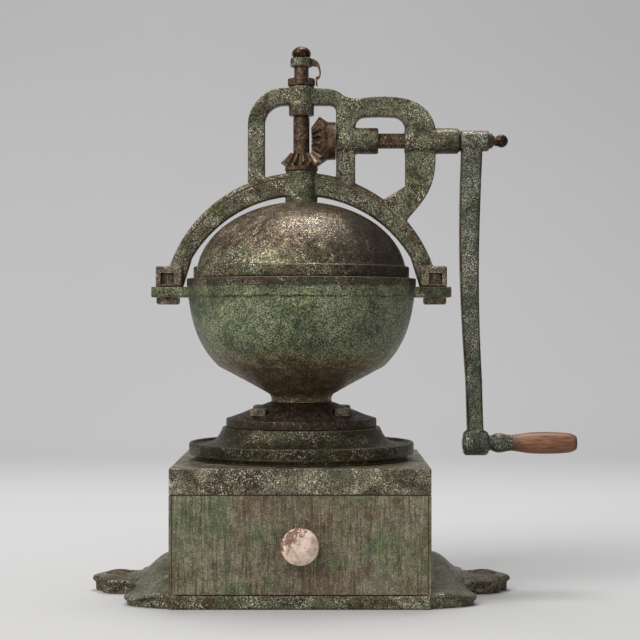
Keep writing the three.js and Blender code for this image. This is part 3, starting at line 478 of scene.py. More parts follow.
class Paint:
    """A material's node tree, with short calls for the nodes that the finishes share.

    colour is what the surface has so far, and each coat goes over it.
    """

    def __init__(self, name, **sockets):
        self.material = bpy.data.materials.new(name)
        self.material.use_nodes = True
        self.tree = self.material.node_tree
        self.shader = self.tree.nodes["Principled BSDF"]
        for socket, value in sockets.items():
            self.shader.inputs[socket.replace("_", " ")].default_value = value
        coordinates = self.node("ShaderNodeTexCoord")
        self.here = coordinates.outputs["Object"]
        self.normal = self.split(coordinates.outputs["Normal"])
        self.xyz = self.split(self.here)
        self.colour = None

    def node(self, kind, inputs=(), **settings):
        """A new node with its settings, and with a value or a link for some of its inputs."""
        node = self.tree.nodes.new(kind)
        for key, value in settings.items():
            setattr(node, key, value)
        for socket, value in dict(inputs).items():
            self.feed(node.inputs[socket], value)
        return node

    def feed(self, socket, value):
        if isinstance(value, bpy.types.NodeSocket):
            self.tree.links.new(value, socket)
        else:
            socket.default_value = value

    def split(self, vector):
        return self.node("ShaderNodeSeparateXYZ", {0: vector}).outputs

    def stretched(self, x, y, z, shift=0.0):
        """The place in the object, with each axis scaled, for grain and streaks."""
        inputs = {"Vector": self.here, "Scale": (x, y, z), "Location": (shift, shift, shift)}
        return self.node("ShaderNodeMapping", inputs).outputs["Vector"]

    def noise(self, size, detail, rough, warp=0.0, shift=0.0, at=None):
        """Cloudy noise from 0 to 1 whose blotches are about this many millimetres wide."""
        vector = at or self.stretched(1, 1, 1, shift)
        inputs = {"Vector": vector, "Scale": 1 / (size * MM), "Detail": detail, "Roughness": rough}
        return self.node("ShaderNodeTexNoise", {**inputs, "Distortion": warp}).outputs["Fac"]

    def between(self, value, low, high, start=0.0, end=1.0):
        """Goes smoothly from start to end as the value goes from low to high."""
        inputs = {"Value": value, "From Min": low, "From Max": high, "To Min": start, "To Max": end}
        return self.node("ShaderNodeMapRange", inputs, interpolation_type="SMOOTHSTEP").outputs["Result"]

    def maths(self, operation, first, second=0.0):
        return self.node("ShaderNodeMath", {0: first, 1: second}, operation=operation).outputs["Value"]

    def times(self, first, second):
        return self.maths("MULTIPLY", first, second)

    def larger(self, first, second):
        return self.maths("MAXIMUM", first, second)

    def along(self, axis):
        """The place along an axis, in millimetres."""
        return self.maths("DIVIDE", self.xyz[axis], MM)

    def distance(self, axis):
        """The distance from the middle along an axis, in millimetres."""
        return self.maths("DIVIDE", self.maths("ABSOLUTE", self.xyz[axis]), MM)

    def shifted(self, place, noise, width):
        """A place moved to and fro by a noise, within this many millimetres."""
        return self.maths("ADD", place, self.times(self.maths("SUBTRACT", noise, 0.5), width))

    def ramp(self, value, *stops):
        """A colour for a value, from stops given as (place, colour)."""
        node = self.node("ShaderNodeValToRGB", {"Fac": value})
        elements = node.color_ramp.elements
        for i, (spot, colour) in enumerate(stops):
            element = elements[i] if i < 2 else elements.new(spot)
            element.position = spot
            element.color = rgb(colour)
        return node.outputs["Color"]

    def coat(self, share, colour, blend="MIX"):
        """Lays a colour over what the surface has so far."""
        if isinstance(colour, str):
            colour = rgb(colour)
        inputs = {0: share, 6: self.colour, 7: colour}
        self.colour = self.node("ShaderNodeMix", inputs, data_type="RGBA", blend_type=blend).outputs[2]

    def shade(self, value, *stops):
        """Darkens the colour by greys for a value, with stops as in a ramp."""
        self.coat(1.0, self.ramp(value, *stops), "MULTIPLY")

    def edges(self, width, share):
        """The share along the edges, for about this many millimetres, and 0 on flat surfaces."""
        soft = self.node("ShaderNodeBevel", {"Radius": width * MM}, samples=4).outputs["Normal"]
        flat = self.node("ShaderNodeNewGeometry").outputs["Normal"]
        turn = self.node("ShaderNodeVectorMath", {0: soft, 1: flat}, operation="DOT_PRODUCT")
        return self.times(self.between(turn.outputs["Value"], 0.93, 0.992, 1, 0), share)

    def shade_and_grime_in_crevices(self, reach):
        """Painted shade and grime: 1 deep in the piece's own corners and gaps, within this many millimetres,
        and 0 outside.
        """
        node = self.node("ShaderNodeAmbientOcclusion", {"Distance": reach * MM}, samples=4, only_local=True)
        return self.between(node.outputs["AO"], 0.35, 0.9, 1, 0)

    def finish(self, roughness, height=None, depth=0.0, strength=0.0):
        """Feeds the shader, with a bump whose depth is in millimetres."""
        self.feed(self.shader.inputs["Base Color"], self.colour)
        self.feed(self.shader.inputs["Roughness"], roughness)
        if height is not None:
            inputs = {"Strength": strength, "Distance": depth * MM, "Height": height}
            self.feed(self.shader.inputs["Normal"], self.node("ShaderNodeBump", inputs).outputs["Normal"])
        return self.material


BROWNS = ("2b2017", "54402e", "80644a")


def patina(name, greens, browns=BROWNS, rust=0.5, pale=1.0, seed=0.0, bands=(), below=None,
           brown_from=(), soot_and_shade_from=(), rim=None, clouds=("7f8a44", "868a7c"), walls=None, calm=0.0,
           metal=0.3, dark=1.0, rough=(0.3, 0.6), edge=("8a7a5e", 0.5, 1.3)):
    """Old cast metal: mottled green corrosion over brown iron, finely speckled.

    rust, pale and dark are the amounts of brown patches, pale specks and dark specks; the pale specks
    are worn bright chips and painted glints. In millimetres, bands are belts given as (low, high,
    colour), and below is where the metal turns brown downwards. brown_from and soot_and_shade_from
    list (axis, start, end, share) for where it turns brown or nearly black along an axis; the near
    black is soot, and on the bowl and the dome painted shade on their right. rim is half the
    thickness of a flat casting across Y, whose edges and grooves, just behind its faces, are rusty.
    clouds are the colours of its moss and its haze. walls is the (start, end) distance from the
    middle between which upright faces turn brown, and calm is how much smoother upper faces are.
    edge is the (colour, share, width) of worn edges; on the top plate its pale colour is a painted
    edge highlight. The darkening in the piece's own corners and gaps is painted shade and grime.
    """
    p = Paint(name, Metallic=metal, Specular_IOR_Level=0.3)
    p.colour = p.ramp(p.noise(44, 6, 0.6, 0.8, seed), *zip((0.34, 0.43, 0.51, 0.59, 0.68), greens))
    middle = p.noise(9, 5, 0.7, 0.3, seed + 3)
    moss = p.between(p.noise(26, 6, 0.68, 0.8, seed + 5), 0.5, 0.64)
    p.coat(p.times(moss, p.between(middle, 0.4, 0.6, 0.2, 0.75)), clouds[0])
    p.coat(p.between(p.noise(30, 5, 0.6, 0.6, seed + 27), 0.52, 0.68, 0, 0.5), clouds[1])
    brown = p.ramp(p.noise(7, 5, 0.72, 0.3, seed + 7), *zip((0.36, 0.5, 0.66), browns))
    worn = p.noise(24, 7, 0.7, 0.8, seed + 9)
    share = p.between(worn, 0.62 - 0.2 * rust, 0.75 - 0.2 * rust, 0, 0.92)
    wavy = p.shifted(p.along("Z"), middle, 9.0)
    if below is not None:
        share = p.larger(share, p.between(wavy, below - 9, below + 9, 0.95, 0))
    for axis, start, end, most in brown_from:
        share = p.larger(share, p.between(p.shifted(p.along(axis), worn, 90.0), start, end, 0, most))
    share = p.larger(share, p.between(p.normal["Z"], -0.85, -0.35, 0.8, 0))
    if walls is not None:
        upright = p.between(p.maths("ABSOLUTE", p.normal["Z"]), 0.2, 0.5, 1, 0)
        share = p.larger(share, p.times(upright, p.between(p.distance("X"), *walls, 0, 0.85)))
    p.coat(share, brown)
    for low, high, colour in bands:
        upper = p.between(wavy, high - 0.6, high + 0.6, 0.85, 0)
        p.coat(p.times(p.between(wavy, low - 0.6, low + 0.6), upper), colour)
    tone = p.noise(6, 5, 0.78, 0.4, seed + 29)
    p.shade(tone, (0.34, "a6a6a6"), (0.5, "dadada"), (0.63, "ffffff"))
    fine = p.noise(1.25, 3, 0.7, 0, seed + 11)
    p.shade(fine, (0.41, "4e4e4e"), (0.5, "b6b6b6"), (0.585, "ffffff"))
    gather = p.between(p.noise(17, 5, 0.7, 0.6, seed + 31), 0.42, 0.6, 0.3, 1.0)
    specks = p.between(p.noise(1.45, 4, 0.75, 0, seed + 13), 0.545, 0.6, 0, dark)
    dark_specks = p.times(specks, gather)
    p.coat(dark_specks, "1f1811")
    # Pale specks: worn bright chips, and painted glints, made bright to stand in for sparkle in the light.
    drift = p.between(p.noise(20, 6, 0.72, 0.6, seed + 19), 0.44, 0.62, 0.1, 1.0)
    specks = p.between(p.noise(1.2, 4, 0.75, 0.2, seed + 17), 0.545, 0.605, 0, pale)
    chips_and_glints = p.times(specks, p.between(p.normal["Z"], 0.25, 0.6, 1, 1 - calm))
    p.coat(p.times(chips_and_glints, drift), "e4dcc4")
    # Near black along an axis: soot, and on the bowl and the dome painted shade on their right, away from
    # the key light.
    for axis, start, end, most in soot_and_shade_from:
        p.coat(p.between(p.shifted(p.along(axis), worn, 90.0), start, end, 0, most), "1d160f")
    if rim is not None:
        depth = p.distance("Y")
        back = p.shifted(depth, worn, 30.0)
        behind = p.times(p.between(depth, rim - 0.55, rim - 0.12, 0.95, 0),
                         p.between(back, rim - 4.5, rim - 0.5, 0.1, 1))
        behind = p.times(behind, p.between(middle, 0.4, 0.56, 0.45, 1))
        p.coat(behind, p.ramp(fine, (0.38, "1f150e"), (0.62, "57341f")))
    # Painted shade and grime: near black deep in the piece's own corners and gaps.
    p.coat(p.times(p.shade_and_grime_in_crevices(5), 0.75), "1c150e")
    edge_colour, edge_share, edge_width = edge
    p.coat(p.edges(edge_width, p.between(middle, 0.36, 0.56, 0.45, edge_share)), edge_colour)
    roughness = p.between(p.noise(2.2, 4, 0.75, 0, seed + 23), 0.36, 0.64, *rough)
    bump = p.maths("ADD", p.times(fine, 0.55), p.times(tone, 0.6))
    return p.finish(roughness, p.maths("SUBTRACT", bump, p.times(dark_specks, 0.4)), 0.6, 0.7)


def iron(name, tones, pale=0.35, metal=0.5, seed=0.0, rough=(0.4, 0.66), edge=("8d765a", 0.45),
         relief=0.4, dark=0.85):
    """Bare or rusting iron with fine specks; relief is in millimetres,
    and dark is the share of painted shade and grime in the piece's own corners and gaps.
    """
    p = Paint(name, Metallic=metal, Specular_IOR_Level=0.35)
    cloud = p.noise(9, 5, 0.7, 0.3, seed)
    p.colour = p.ramp(cloud, *zip((0.34, 0.5, 0.66), tones))
    fine = p.noise(1.8, 3, 0.7, 0, seed + 3)
    p.shade(fine, (0.36, "707070"), (0.62, "ffffff"))
    p.coat(p.between(p.noise(2.1, 2, 0.6, 0, seed + 7), 0.59, 0.67, 0, pale), "b7a68c")
    # Painted shade and grime: near black deep in the piece's own corners and gaps, by the share dark.
    p.coat(p.times(p.shade_and_grime_in_crevices(4), dark), "140e09")
    edge_colour, edge_share = edge
    p.coat(p.edges(0.8, p.between(cloud, 0.36, 0.56, 0.2, edge_share)), edge_colour)
    roughness = p.between(p.noise(4, 3, 0.7, 0, seed + 11), 0.38, 0.62, *rough)
    return p.finish(roughness, fine, relief, 0.6)


def painted_wood():
    """Old green paint on upright-grained board, worn through in fine vertical streaks."""
    p = Paint("painted_wood", Specular_IOR_Level=0.35)
    cloud = p.noise(38, 5, 0.66, 0.3)
    p.colour = p.ramp(cloud, (0.32, "64654c"), (0.44, "8c866e"), (0.56, "868468"), (0.68, "927a62"))
    moss = p.noise(34, 6, 0.62, 0.6, 15)
    p.coat(p.between(moss, 0.47, 0.6, 0, 0.75), "5f7346")
    worn = p.between(p.shifted(p.distance("X"), moss, 160.0), 15, 60, 0.6, 0)
    p.coat(p.times(worn, p.between(p.xyz["Y"], -0.1, -0.09, 1, 0)), "7c6352")
    p.coat(p.between(p.noise(30, 6, 0.66, 0.7, 9), 0.5, 0.63, 0, 0.65), "70503a")
    streak = p.noise(2.0, 4, 0.7, 0, at=p.stretched(1, 1, 0.07))
    p.coat(p.between(streak, 0.47, 0.61, 0, 0.42), "b0a98e")
    gaps = p.noise(1.7, 5, 0.75, 0, at=p.stretched(1, 1, 0.05, 5))
    p.coat(p.between(gaps, 0.51, 0.61, 0, 0.7), "3c3527")
    tone = p.noise(6, 4, 0.75, 0.2, 21)
    p.shade(tone, (0.36, "bcbcbc"), (0.6, "ffffff"))
    p.shade(p.noise(1.3, 3, 0.7, 0, 11), (0.36, "909090"), (0.62, "ffffff"))
    p.coat(p.between(p.noise(1.5, 3, 0.7, 0, 13), 0.58, 0.68, 0, 0.3), "bdb69a")
    p.coat(p.edges(1.4, p.between(tone, 0.36, 0.56, 0.2, 0.65)), "3a2d20")
    height = p.maths("SUBTRACT", p.times(streak, 0.8), gaps)
    return p.finish(p.between(cloud, 0.3, 0.7, 0.6, 0.82), height, 0.6, 0.6)


def plain_wood():
    """Unpainted brown drawer wood, with its grain along Y."""
    p = Paint("plain_wood", Specular_IOR_Level=0.3)
    grain = p.noise(3.2, 5, 0.62, 1.2, at=p.stretched(1, 0.06, 1))
    p.colour = p.ramp(grain, (0.34, "4d3926"), (0.5, "755739"), (0.66, "94734c"))
    p.coat(p.between(p.noise(50, 3, 0.5, 0.4), 0.45, 0.7, 0, 0.5), "43301f")
    return p.finish(p.between(grain, 0.3, 0.7, 0.6, 0.8), grain, 0.25, 0.4)


def grip_wood():
    """Turned orange-brown wood with long grain along X and dirt towards its ends."""
    p = Paint("grip_wood", Specular_IOR_Level=0.5)
    grain = p.noise(2.2, 5, 0.66, 0.8, at=p.stretched(0.09, 1, 1))
    p.colour = p.ramp(grain, (0.32, "3a2215"), (0.48, "6a4129"), (0.6, "875839"), (0.72, "543420"))
    lines = p.noise(1.1, 2, 0.5, 0, at=p.stretched(0.05, 1, 1, 4.0))
    p.coat(p.between(lines, 0.56, 0.64, 0, 0.6), "52301f")
    low, high = span("wooden_grip", "x")
    along = p.along("X")
    p.coat(p.larger(p.between(along, low + 1, low + 9, 0.75, 0),
                    p.between(along, high - 5, high - 1, 0, 0.85)), "3a2a20")
    p.coat(p.between(p.noise(7, 4, 0.6, 0.4, 2.0), 0.52, 0.7, 0, 0.5), "7b4a30")
    return p.finish(p.between(grain, 0.3, 0.7, 0.42, 0.62), grain, 0.2, 0.4)


def enamel():
    """Cream enamel, chipped to brown on its upper left."""
    p = Paint("knob_enamel", Specular_IOR_Level=0.6)
    p.colour = p.ramp(p.noise(7, 4, 0.6, 0.4), (0.32, "a58c7b"), (0.5, "cbb3a2"), (0.68, "dccbbd"))
    lean = p.maths("SUBTRACT", p.maths("SUBTRACT", p.along("Z"), KNOB_Z), p.along("X"))
    where = p.maths("ADD", p.noise(4.5, 5, 0.72, 0.6, 1.5), p.between(lean, -6, 14, -0.13, 0.1))
    share = p.between(where, 0.56, 0.6)
    p.coat(share, "6e4a38")
    p.coat(p.between(p.noise(1.6, 2, 0.6, 0, 3.0), 0.6, 0.68, 0, 0.5), "8d7363")
    return p.finish(p.between(where, 0.5, 0.62, 0.24, 0.62), p.maths("SUBTRACT", 1.0, share), 0.25, 0.6)


def backdrop_paint():
    """Pale grey, painted a little lighter far behind the mill than round it: painted light and shade that
    even out how the lamps light the floor and the wall.
    """
    p = Paint("backdrop", Specular_IOR_Level=0.1)
    cloud = p.noise(900, 2, 0.5)
    p.colour = p.ramp(cloud, (0.3, "a9a9aa"), (0.7, "acacad"))
    # Lighter far behind the mill: painted light on the far floor and the wall.
    p.coat(p.between(p.xyz["Y"], -0.2, 1.0), p.ramp(cloud, (0.3, "bbbbbd"), (0.7, "bebec0")))
    return p.finish(0.9)


# ---- Base and case ----


def wing_height(x, y):
    """Height of the iron wing at a place beside the case."""
    hump = min(max((x - 118) / 29, 0), 1)
    rise = 0.5 + 0.5 * math.cos(math.pi * hump)
    wall = 13.5 + 20 * math.cos(math.pi / 2 * y / (HALF + 1)) ** 1.6
    past = max(x - EAR_X, 0) / 30
    crown = max(1 - (y / 34) ** 2 - past ** 2, 0)
    flat = 8.5 + 2.5 * math.exp(-((y / 55) ** 4)) + 5.8 * crown
    return flat + (wall - flat) * rise


def wing():
    """The scalloped iron wing with its ear, on the crank's side of the case."""
    half = [
        (HALF, -109.5), (126, -104), (141, -96), (150, -85), (149.5, -71), (145, -55), (145.5, -38),
        (152, -29), (168, -27), (178.5, -19), (180.5, -10), (186.5, -5),
    ]
    points = [*half, (187, 0), *[(x, -y) for x, y in reversed(half)]]
    edge = smooth_line(points, 6)
    waist = beside(edge, 2.6)
    inside = HALF - 5
    lip = 3.6
    columns = 26
    vertices = []
    for (x, y), (waist_x, waist_y) in zip(edge, waist):
        far = max(x, inside + 1)
        low = wing_height(max(far, HALF), y) - lip
        narrow = max(waist_x, inside + 0.5)
        vertices += [(inside, y, 0), (narrow, waist_y, 0), (narrow, waist_y, low - 1.2), (far, y, low)]
        for i in range(columns, -1, -1):
            across = inside + (far - inside) * i / columns
            vertices.append((across, y, wing_height(max(across, HALF), y)))
    count = columns + 5
    faces = []
    for row in range(len(edge) - 1):
        here, there = row * count, (row + 1) * count
        for j in range(count):
            k = (j + 1) % count
            faces.append((here + k, here + j, there + j, there + k))
    faces.append(tuple(range(count)))
    faces.append(tuple(reversed(range(len(vertices) - count, len(vertices)))))
    return Shape(vertices, faces)


def make_base():
    slab = eased(mesh_of(block(-HALF, HALF, -HALF, HALF, 0, SLAB_TOP)), 1.0, 3)
    right = wing()
    casting = cast_surface(join(slab, right, right.turned(180)), 1.1, 5)
    pan = block(-95, 95, -95, 95, 5, SLAB_TOP + 40)
    above = block(-HALF - 0.3, HALF + 0.3, -HALF + 0.5, HALF - 0.5, SLAB_TOP, SLAB_TOP + 60)
    sockets = [rod(13, 13.6, 30, 48).moved(x=side * EAR_X) for side in (1, -1)]
    place("base_casting", cut(casting, above, pan, *sockets), "base", 40)


def make_ear_screws():
    for node, side in (("ear_screw_right", 1), ("ear_screw_left", -1)):
        line = rounded([(0, 1), (4, 1), (4, 13.9), (12.6, 13.9), (12.6, 14.8)], 0.4)
        crown = arc((0, 14.8), (12.6, 3.6), 0, 90, 14)[1:-1]
        head = mesh_of(lathe([*line, *crown, (0, 18.4)], 64))
        screw = cut(head, block(-15, 15, -0.9, 0.9, 16.9, 20))
        turn = Matrix.Rotation(math.radians(32 * side), 4, "Z")
        screw.transform(Matrix.Translation((side * EAR_X, 0, 0)) @ turn)
        place(node, screw, "rusty_iron")


def make_boards():
    """The case's wooden boards and the iron plate on them, from their CAD solids with eased edges."""
    special = {"drawer_front": 0.7, "drawer_bottom": 0.4, "top_plate": 1.3}
    for node in ("side_panel_right", "side_panel_left", "rear_panel", "drawer_front", "drawer_side_right",
                 "drawer_side_left", "drawer_back", "drawer_bottom", "drawer_runner_right",
                 "drawer_runner_left", "top_plate"):
        mesh = eased(cad_mesh(node), special.get(node, 0.5), 3)
        place(node, mesh, SLOT_OF[node], flat=True)


def make_knob():
    face = [
        (2.8, 0), (8.6, 0), (8.2, 1.6), (7.0, 3.2), (7.6, 4.6), (10.5, 6.0), (14.6, 7.0), (15.8, 8.2),
        (16.0, 9.2), (15.6, 10.2), (14.9, 10.9), (14.2, 11.0), (13.4, 11.5), (11.0, 12.7), (7.5, 13.5),
        (3.5, 13.9), (0, 14),
    ]
    face = rounded([(radius, KNOB_BACK + depth) for radius, depth in face], 0.8)
    hollow = [(0, KNOB_BACK + 8), (2.8, KNOB_BACK + 8)]
    knob = lathe([*face, *hollow], 80).turned(90, "X").moved(z=KNOB_Z)
    place("drawer_knob", knob, "knob_enamel", 50)


# ---- Pedestal, burr housing and hopper ----


def bolt_places():
    for index, degrees in enumerate((45, 135, 225, 315), 1):
        angle = math.radians(degrees)
        yield index, 52 * math.cos(angle), 52 * math.sin(angle)


def make_pedestal():
    sweep = bezier([(89.5, 130.8), (79, 132.5), (74, 137), (70.5, FLANGE_Z)], 14)
    outside = [
        (32, FOOT_Z), (54, FOOT_Z), (58, FOOT_Z + 5), (84, FOOT_Z + 5), (86, FOOT_Z), (95, FOOT_Z),
        (95, 122.8), (100.8, 123.2), (100.8, 132.6), (100, 133.5), (98.2, 133.5), (97.0, 130.6),
    ]
    profile = [*outside, *sweep, (44.3, FLANGE_Z), (44.3, 124.6)]
    place("pedestal", lathe(rounded(profile, 0.9), 128), "pedestal")


def make_housing():
    bottom = span("burr_housing", "z")[0]
    flange = FLANGE_Z + GAP
    profile = [
        (36, bottom), (44, bottom), (44, flange), (67.5, flange), (67.5, 154.6), (64.6, 155.2),
        (55, 158.6), (46, 162.4), (37, 165.8), (29.4, NECK_TOP - 0.2), (27.5, NECK_TOP), (25.3, NECK_TOP),
        (25.3, 163), (33, 159), (40.3, 158.3), (40.3, 133), (36, 133),
    ]
    body = mesh_of(lathe(rounded(profile, 0.9), 128))
    seats = [rod(10, 158.2, 175, 48).moved(x, y) for _, x, y in bolt_places()]
    place("burr_housing", cut(body, *seats), "housing")
    for index, x, y in bolt_places():
        head = hexagon(14, 158.5, 164.6).turned(15 * index) + rod(3.1, 133, 160, 24)
        place(f"flange_bolt_{index}", head.moved(x, y), "bolt_iron")


def make_bowl():
    belly = bezier([(74.3, 201.2), (92.5, 218.5), (98.5, 240), (101.3, 262.4)], 28)
    outside = [(26.8, 171.6), (27.3, 174.0), (28.9, 176.4), (45, 185.5), *belly]
    inside = list(reversed(beside(outside[2:], 5)))
    rim = [
        (101.8, 263.2), (102.2, 264), (102.2, LUG_TOP), (102.8, LUG_TOP + 0.6), (102.8, RIM_Z),
        (91, RIM_Z), (91, 275), (96.3, 268),
    ]
    spigot = [(22, 163.8), (25, 163.8), (25, 169.3), (27.5, 169.3)]
    profile = rounded([*spigot, *outside, *rim], 0.7) + inside + [(22, 173.5)]
    lug = eased(mesh_of(block(98.4, LUG_REACH, -13, 13, 262.9, LUG_TOP)), 1.1, 3)
    place("hopper_bowl", join(mesh_of(lathe(profile, 144)), lug, opposite(lug)), "bowl")


def dome_line(distance):
    """Half section of the dome's outer face, moved out by a distance."""
    return arc((0, 281), (94.3 + distance, 67.8 + distance), 9, 90, 36)[:-1]


def dome_band(near, far):
    """A thin round shell over the dome, between two distances from its outer face."""
    line = [*dome_line(far), (0, 348.8 + far), (0, 348.8 + near), *reversed(dome_line(near))]
    return lathe(line, 144)


def knuckle(x0, x1):
    """A hinge barrel with its foot on the dome."""
    barrel = lathe_x(ring_profile(1.7, 3.4, x0, x1), HINGE_Z, 40).moved(y=HINGE_Y)
    return mesh_of(barrel), block(x0, x1, HINGE_Y - 4.5, HINGE_Y - 0.6, HINGE_Z - 5.5, HINGE_Z - 1.9)


def make_dome():
    band = [
        (87.8, DOME_LOW), (90.6, DOME_LOW), (90.6, RIM_Z + GAP), (96.2, RIM_Z + GAP), (96.8, 280.5),
        (96.8, 289.4), (96, 290.2), (94, 290.2),
    ]
    outside = dome_line(0)
    profile = [*rounded([*band, outside[0]], 0.8), *outside[1:], (14.8, 348.2), (14.8, 345.2),
               *[p for p in reversed(dome_line(-3)) if p[0] > 16], (90.4, 281)]
    profile = [p for p in profile if p[0] >= 14.7]
    shell = cut(mesh_of(lathe(profile, 144)), block(-27, 27, 20, 120, 305, 330))
    for x in (16.5, -23.5):
        barrel, foot = knuckle(x, x + 7)
        shell = join(join(shell, foot), barrel)
    place("dome_lid", shell, "dome")
    pin = rounded(rod_profile(1.6, -25, 25), 0.5)
    place("hatch_hinge_pin", lathe_x(pin, HINGE_Z, 32).moved(y=HINGE_Y), "bronze")


def make_hatch():
    """The curved flap over the filling hole, with its rolled hinge and finger tab."""
    low = span("filling_hatch", "z")[0]
    window = eased(mesh_of(block(-33, 33, HINGE_Y + 1, 130, low, 335.5)), 3, 4, 60)
    flap = combined(window, [dome_band(0.8, 3.2)], "INTERSECT")
    leaf = eased(mesh_of(block(-14, 14, HINGE_Y + 0.5, HINGE_Y + 4.6, HINGE_Z - 9.5, HINGE_Z - 1)), 0.4)
    leaf = cut(leaf, dome_band(-6, 0.9), rod_x(1.9, -20, 20, HINGE_Z, 32).moved(y=HINGE_Y))
    tab = cut(eased(mesh_of(block(-9, 9, 88, 99, 301, 304)), 0.6), dome_band(-8, 1.0))
    roll = mesh_of(lathe_x(ring_profile(1.9, 3.4, -16, 16), HINGE_Z, 40).moved(y=HINGE_Y))
    place("filling_hatch", join(flap, tab, leaf, roll), "dome")


# ---- Yoke ----

ARCH_OUTER = (125, 249.7)
ARCH_INNER = (114.5, 239.8)
YOKE_TOP = 450.8


def on_arch(arch, x):
    radius, z = arch
    return x, z + math.sqrt(radius ** 2 - x ** 2)


def along_arch(arch, start, end, steps=28):
    """Points on an arch between two distances from its middle."""
    radius, z = arch
    from_angle, to_angle = (math.degrees(math.acos(x / radius)) for x in (start, end))
    return arc((0, z), radius, from_angle, to_angle, steps)


def yoke_outline():
    foot_top, foot_low, outer = 291, LUG_TOP + GAP, 130.6
    join_x = math.sqrt(ARCH_OUTER[0] ** 2 - (foot_top - ARCH_OUTER[1]) ** 2)
    line = [(106.3, foot_low), (outer, foot_low), (outer - 1.6, foot_top)]
    line += along_arch(ARCH_OUTER, join_x, 94.5)
    onward(line, 16, (103, 344), (119.5, 354), (120.3, 385))
    line += bezier([(120.3, 414), (118, 428), (108, 437.5), (94, 441)], 16)
    onward(line, 8, (74, 445), (54, 441.5))
    onward(line, 8, (46, 440), (37.5, 444))
    onward(line, 8, (31, 449.8), (22, 450.2))
    line += bezier([(-18, YOKE_TOP), (-31, YOKE_TOP), (-47.5, 436), (-48, 419)], 16)
    line += along_arch(ARCH_OUTER, -48, -join_x)
    line += [(1.6 - outer, foot_top), (-outer, foot_low), (-106.3, foot_low)]
    line += along_arch(ARCH_INNER, -98.4, 98.4, 64)
    return line


def left_window():
    line = [on_arch(ARCH_OUTER, -32.7), (-32.7, 418)]
    onward(line, 12, (-32.7, 428), (-25, 435.4), (-15, 435.4))
    line.append((25.2, 435.4))
    onward(line, 8, (31.2, 435.4), (31.2, 429))
    return line + along_arch(ARCH_OUTER, 31.2, -32.7)[:-1]


def right_window():
    line = [*along_arch(ARCH_OUTER, 48.3, 73.8), (93.3, 362.6)]
    line += bezier([(93.3, 412), (93.3, 420), (89, 424.5), (82, 424.8)], 10)
    onward(line, 6, (70, 425.6), (58, 424.8))
    onward(line, 10, (51, 424.5), (48.3, 420), (48.3, 413))
    return line


def arch_groove(side):
    """A tool for the fine groove beside the outer edge of the arch, on its front or back."""
    outer = along_arch((ARCH_OUTER[0] - 3.6, ARCH_OUTER[1]), 108, -108, 96)
    inner = along_arch((ARCH_OUTER[0] - 4.8, ARCH_OUTER[1]), -107.4, 107.4, 96)
    tool = plate([outer + inner], 2.4, 0)
    tool.transform(Matrix.Translation((0, side * 7.4, 0)))
    return tool


def make_yoke():
    web = plate([yoke_outline(), left_window(), right_window()], 14, 1.3)
    lower_boss = lathe([(0, 346.2), (14.4, 346.2), (14.4, 354), (13.4, 368), (13.9, 376), (0, 376)])
    upper_boss = lathe([
        (0, 426), (11.3, 426), (11.3, 437), (10.4, 438), (11.7, 450), (11.4, 452.5), (0, 452.5),
    ])
    inner_boss = lathe_x([(0, 31.2), (11.8, 31.2), (11.8, 68), (11, 69), (0, 69)], SHAFT_Z)
    outer_boss = lathe_x([
        (0, 92.7), (11, 92.7), (11.8, 93.6), (11.8, 120.2), (11.2, 120.6), (11.2, 121.2), (11.6, 121.6),
        (11.5, 140.2), (10.8, 141), (0, 141),
    ], SHAFT_Z)
    foot = eased(mesh_of(block(106.4, 130.2, -FOOT_HALF, FOOT_HALF, LUG_TOP + GAP, 290.6)), 1.4, 3)
    rough = join(web, lower_boss, upper_boss, inner_boss, outer_boss, foot, opposite(foot))
    casting = cast_surface(rough, 0.8, 2)
    tools = [
        rod(11.3, 340, 372), rod(7.9, 371, 380), rod(9, 420, 460),
        rod_x(9, 25, 75, SHAFT_Z), rod_x(9, 88, 145, SHAFT_Z),
    ]
    low, high = span("yoke_nut_right", "z")
    for x in (YOKE_BOLT_X, -YOKE_BOLT_X):
        tools.append(block(x - 6, x + 6, -20, NUT_POCKET_BACK, low - GAP, high + 0.4))
        tools.append(rod(YOKE_BOLT_RADIUS + 0.4, LUG_TOP - 2, high + 2, 40).moved(x))
    tools += [arch_groove(1), arch_groove(-1)]
    place("yoke_frame", cut(casting, *tools), "yoke", 40)


def make_bushes():
    place("lower_spindle_bush", lathe(ring_profile(7.6, 11, 346.4, 371.7)), "bronze")
    place("upper_spindle_bush", lathe(ring_profile(6.8, 8.7, 426.2, 452.3)), "bronze")
    for name, low, high in (("inner_shaft_bush", 31.4, 68.8), ("outer_shaft_bush", 92.9, 140.8)):
        place(name, lathe_x(ring_profile(7.1, 8.7, low, high), SHAFT_Z), "bronze")


def make_yoke_bolts():
    for side, hand in (("right", 1), ("left", -1)):
        x = hand * YOKE_BOLT_X
        head = hexagon(19, 0, 6.1).changed(Matrix.Diagonal((1, -1, -1, 1))).moved(z=262.6)
        bolt = head + lathe(rounded(rod_profile(YOKE_BOLT_RADIUS, 261, 286), 0.8), 40)
        place(f"yoke_bolt_{side}", bolt.turned(8 * hand).moved(x), "bolt_iron")
        low, high = span(f"yoke_nut_{side}", "z")
        nut = cut(mesh_of(hexagon(11, low, high)), rod(YOKE_BOLT_RADIUS + GAP, low - 2, high + 2, 40))
        nut.transform(Matrix.Translation((x, 0, 0)))
        place(f"yoke_nut_{side}", nut, "nut_iron")


# ---- Gears, shaft and crank ----


def make_gears():
    for node, width in (("drive_gear", 0.28), ("driven_gear", 0.28), ("gear_pin", 0.3)):
        place(node, eased(cad_mesh(node), width, 2, 25), "gear_iron", 38, flat=True)


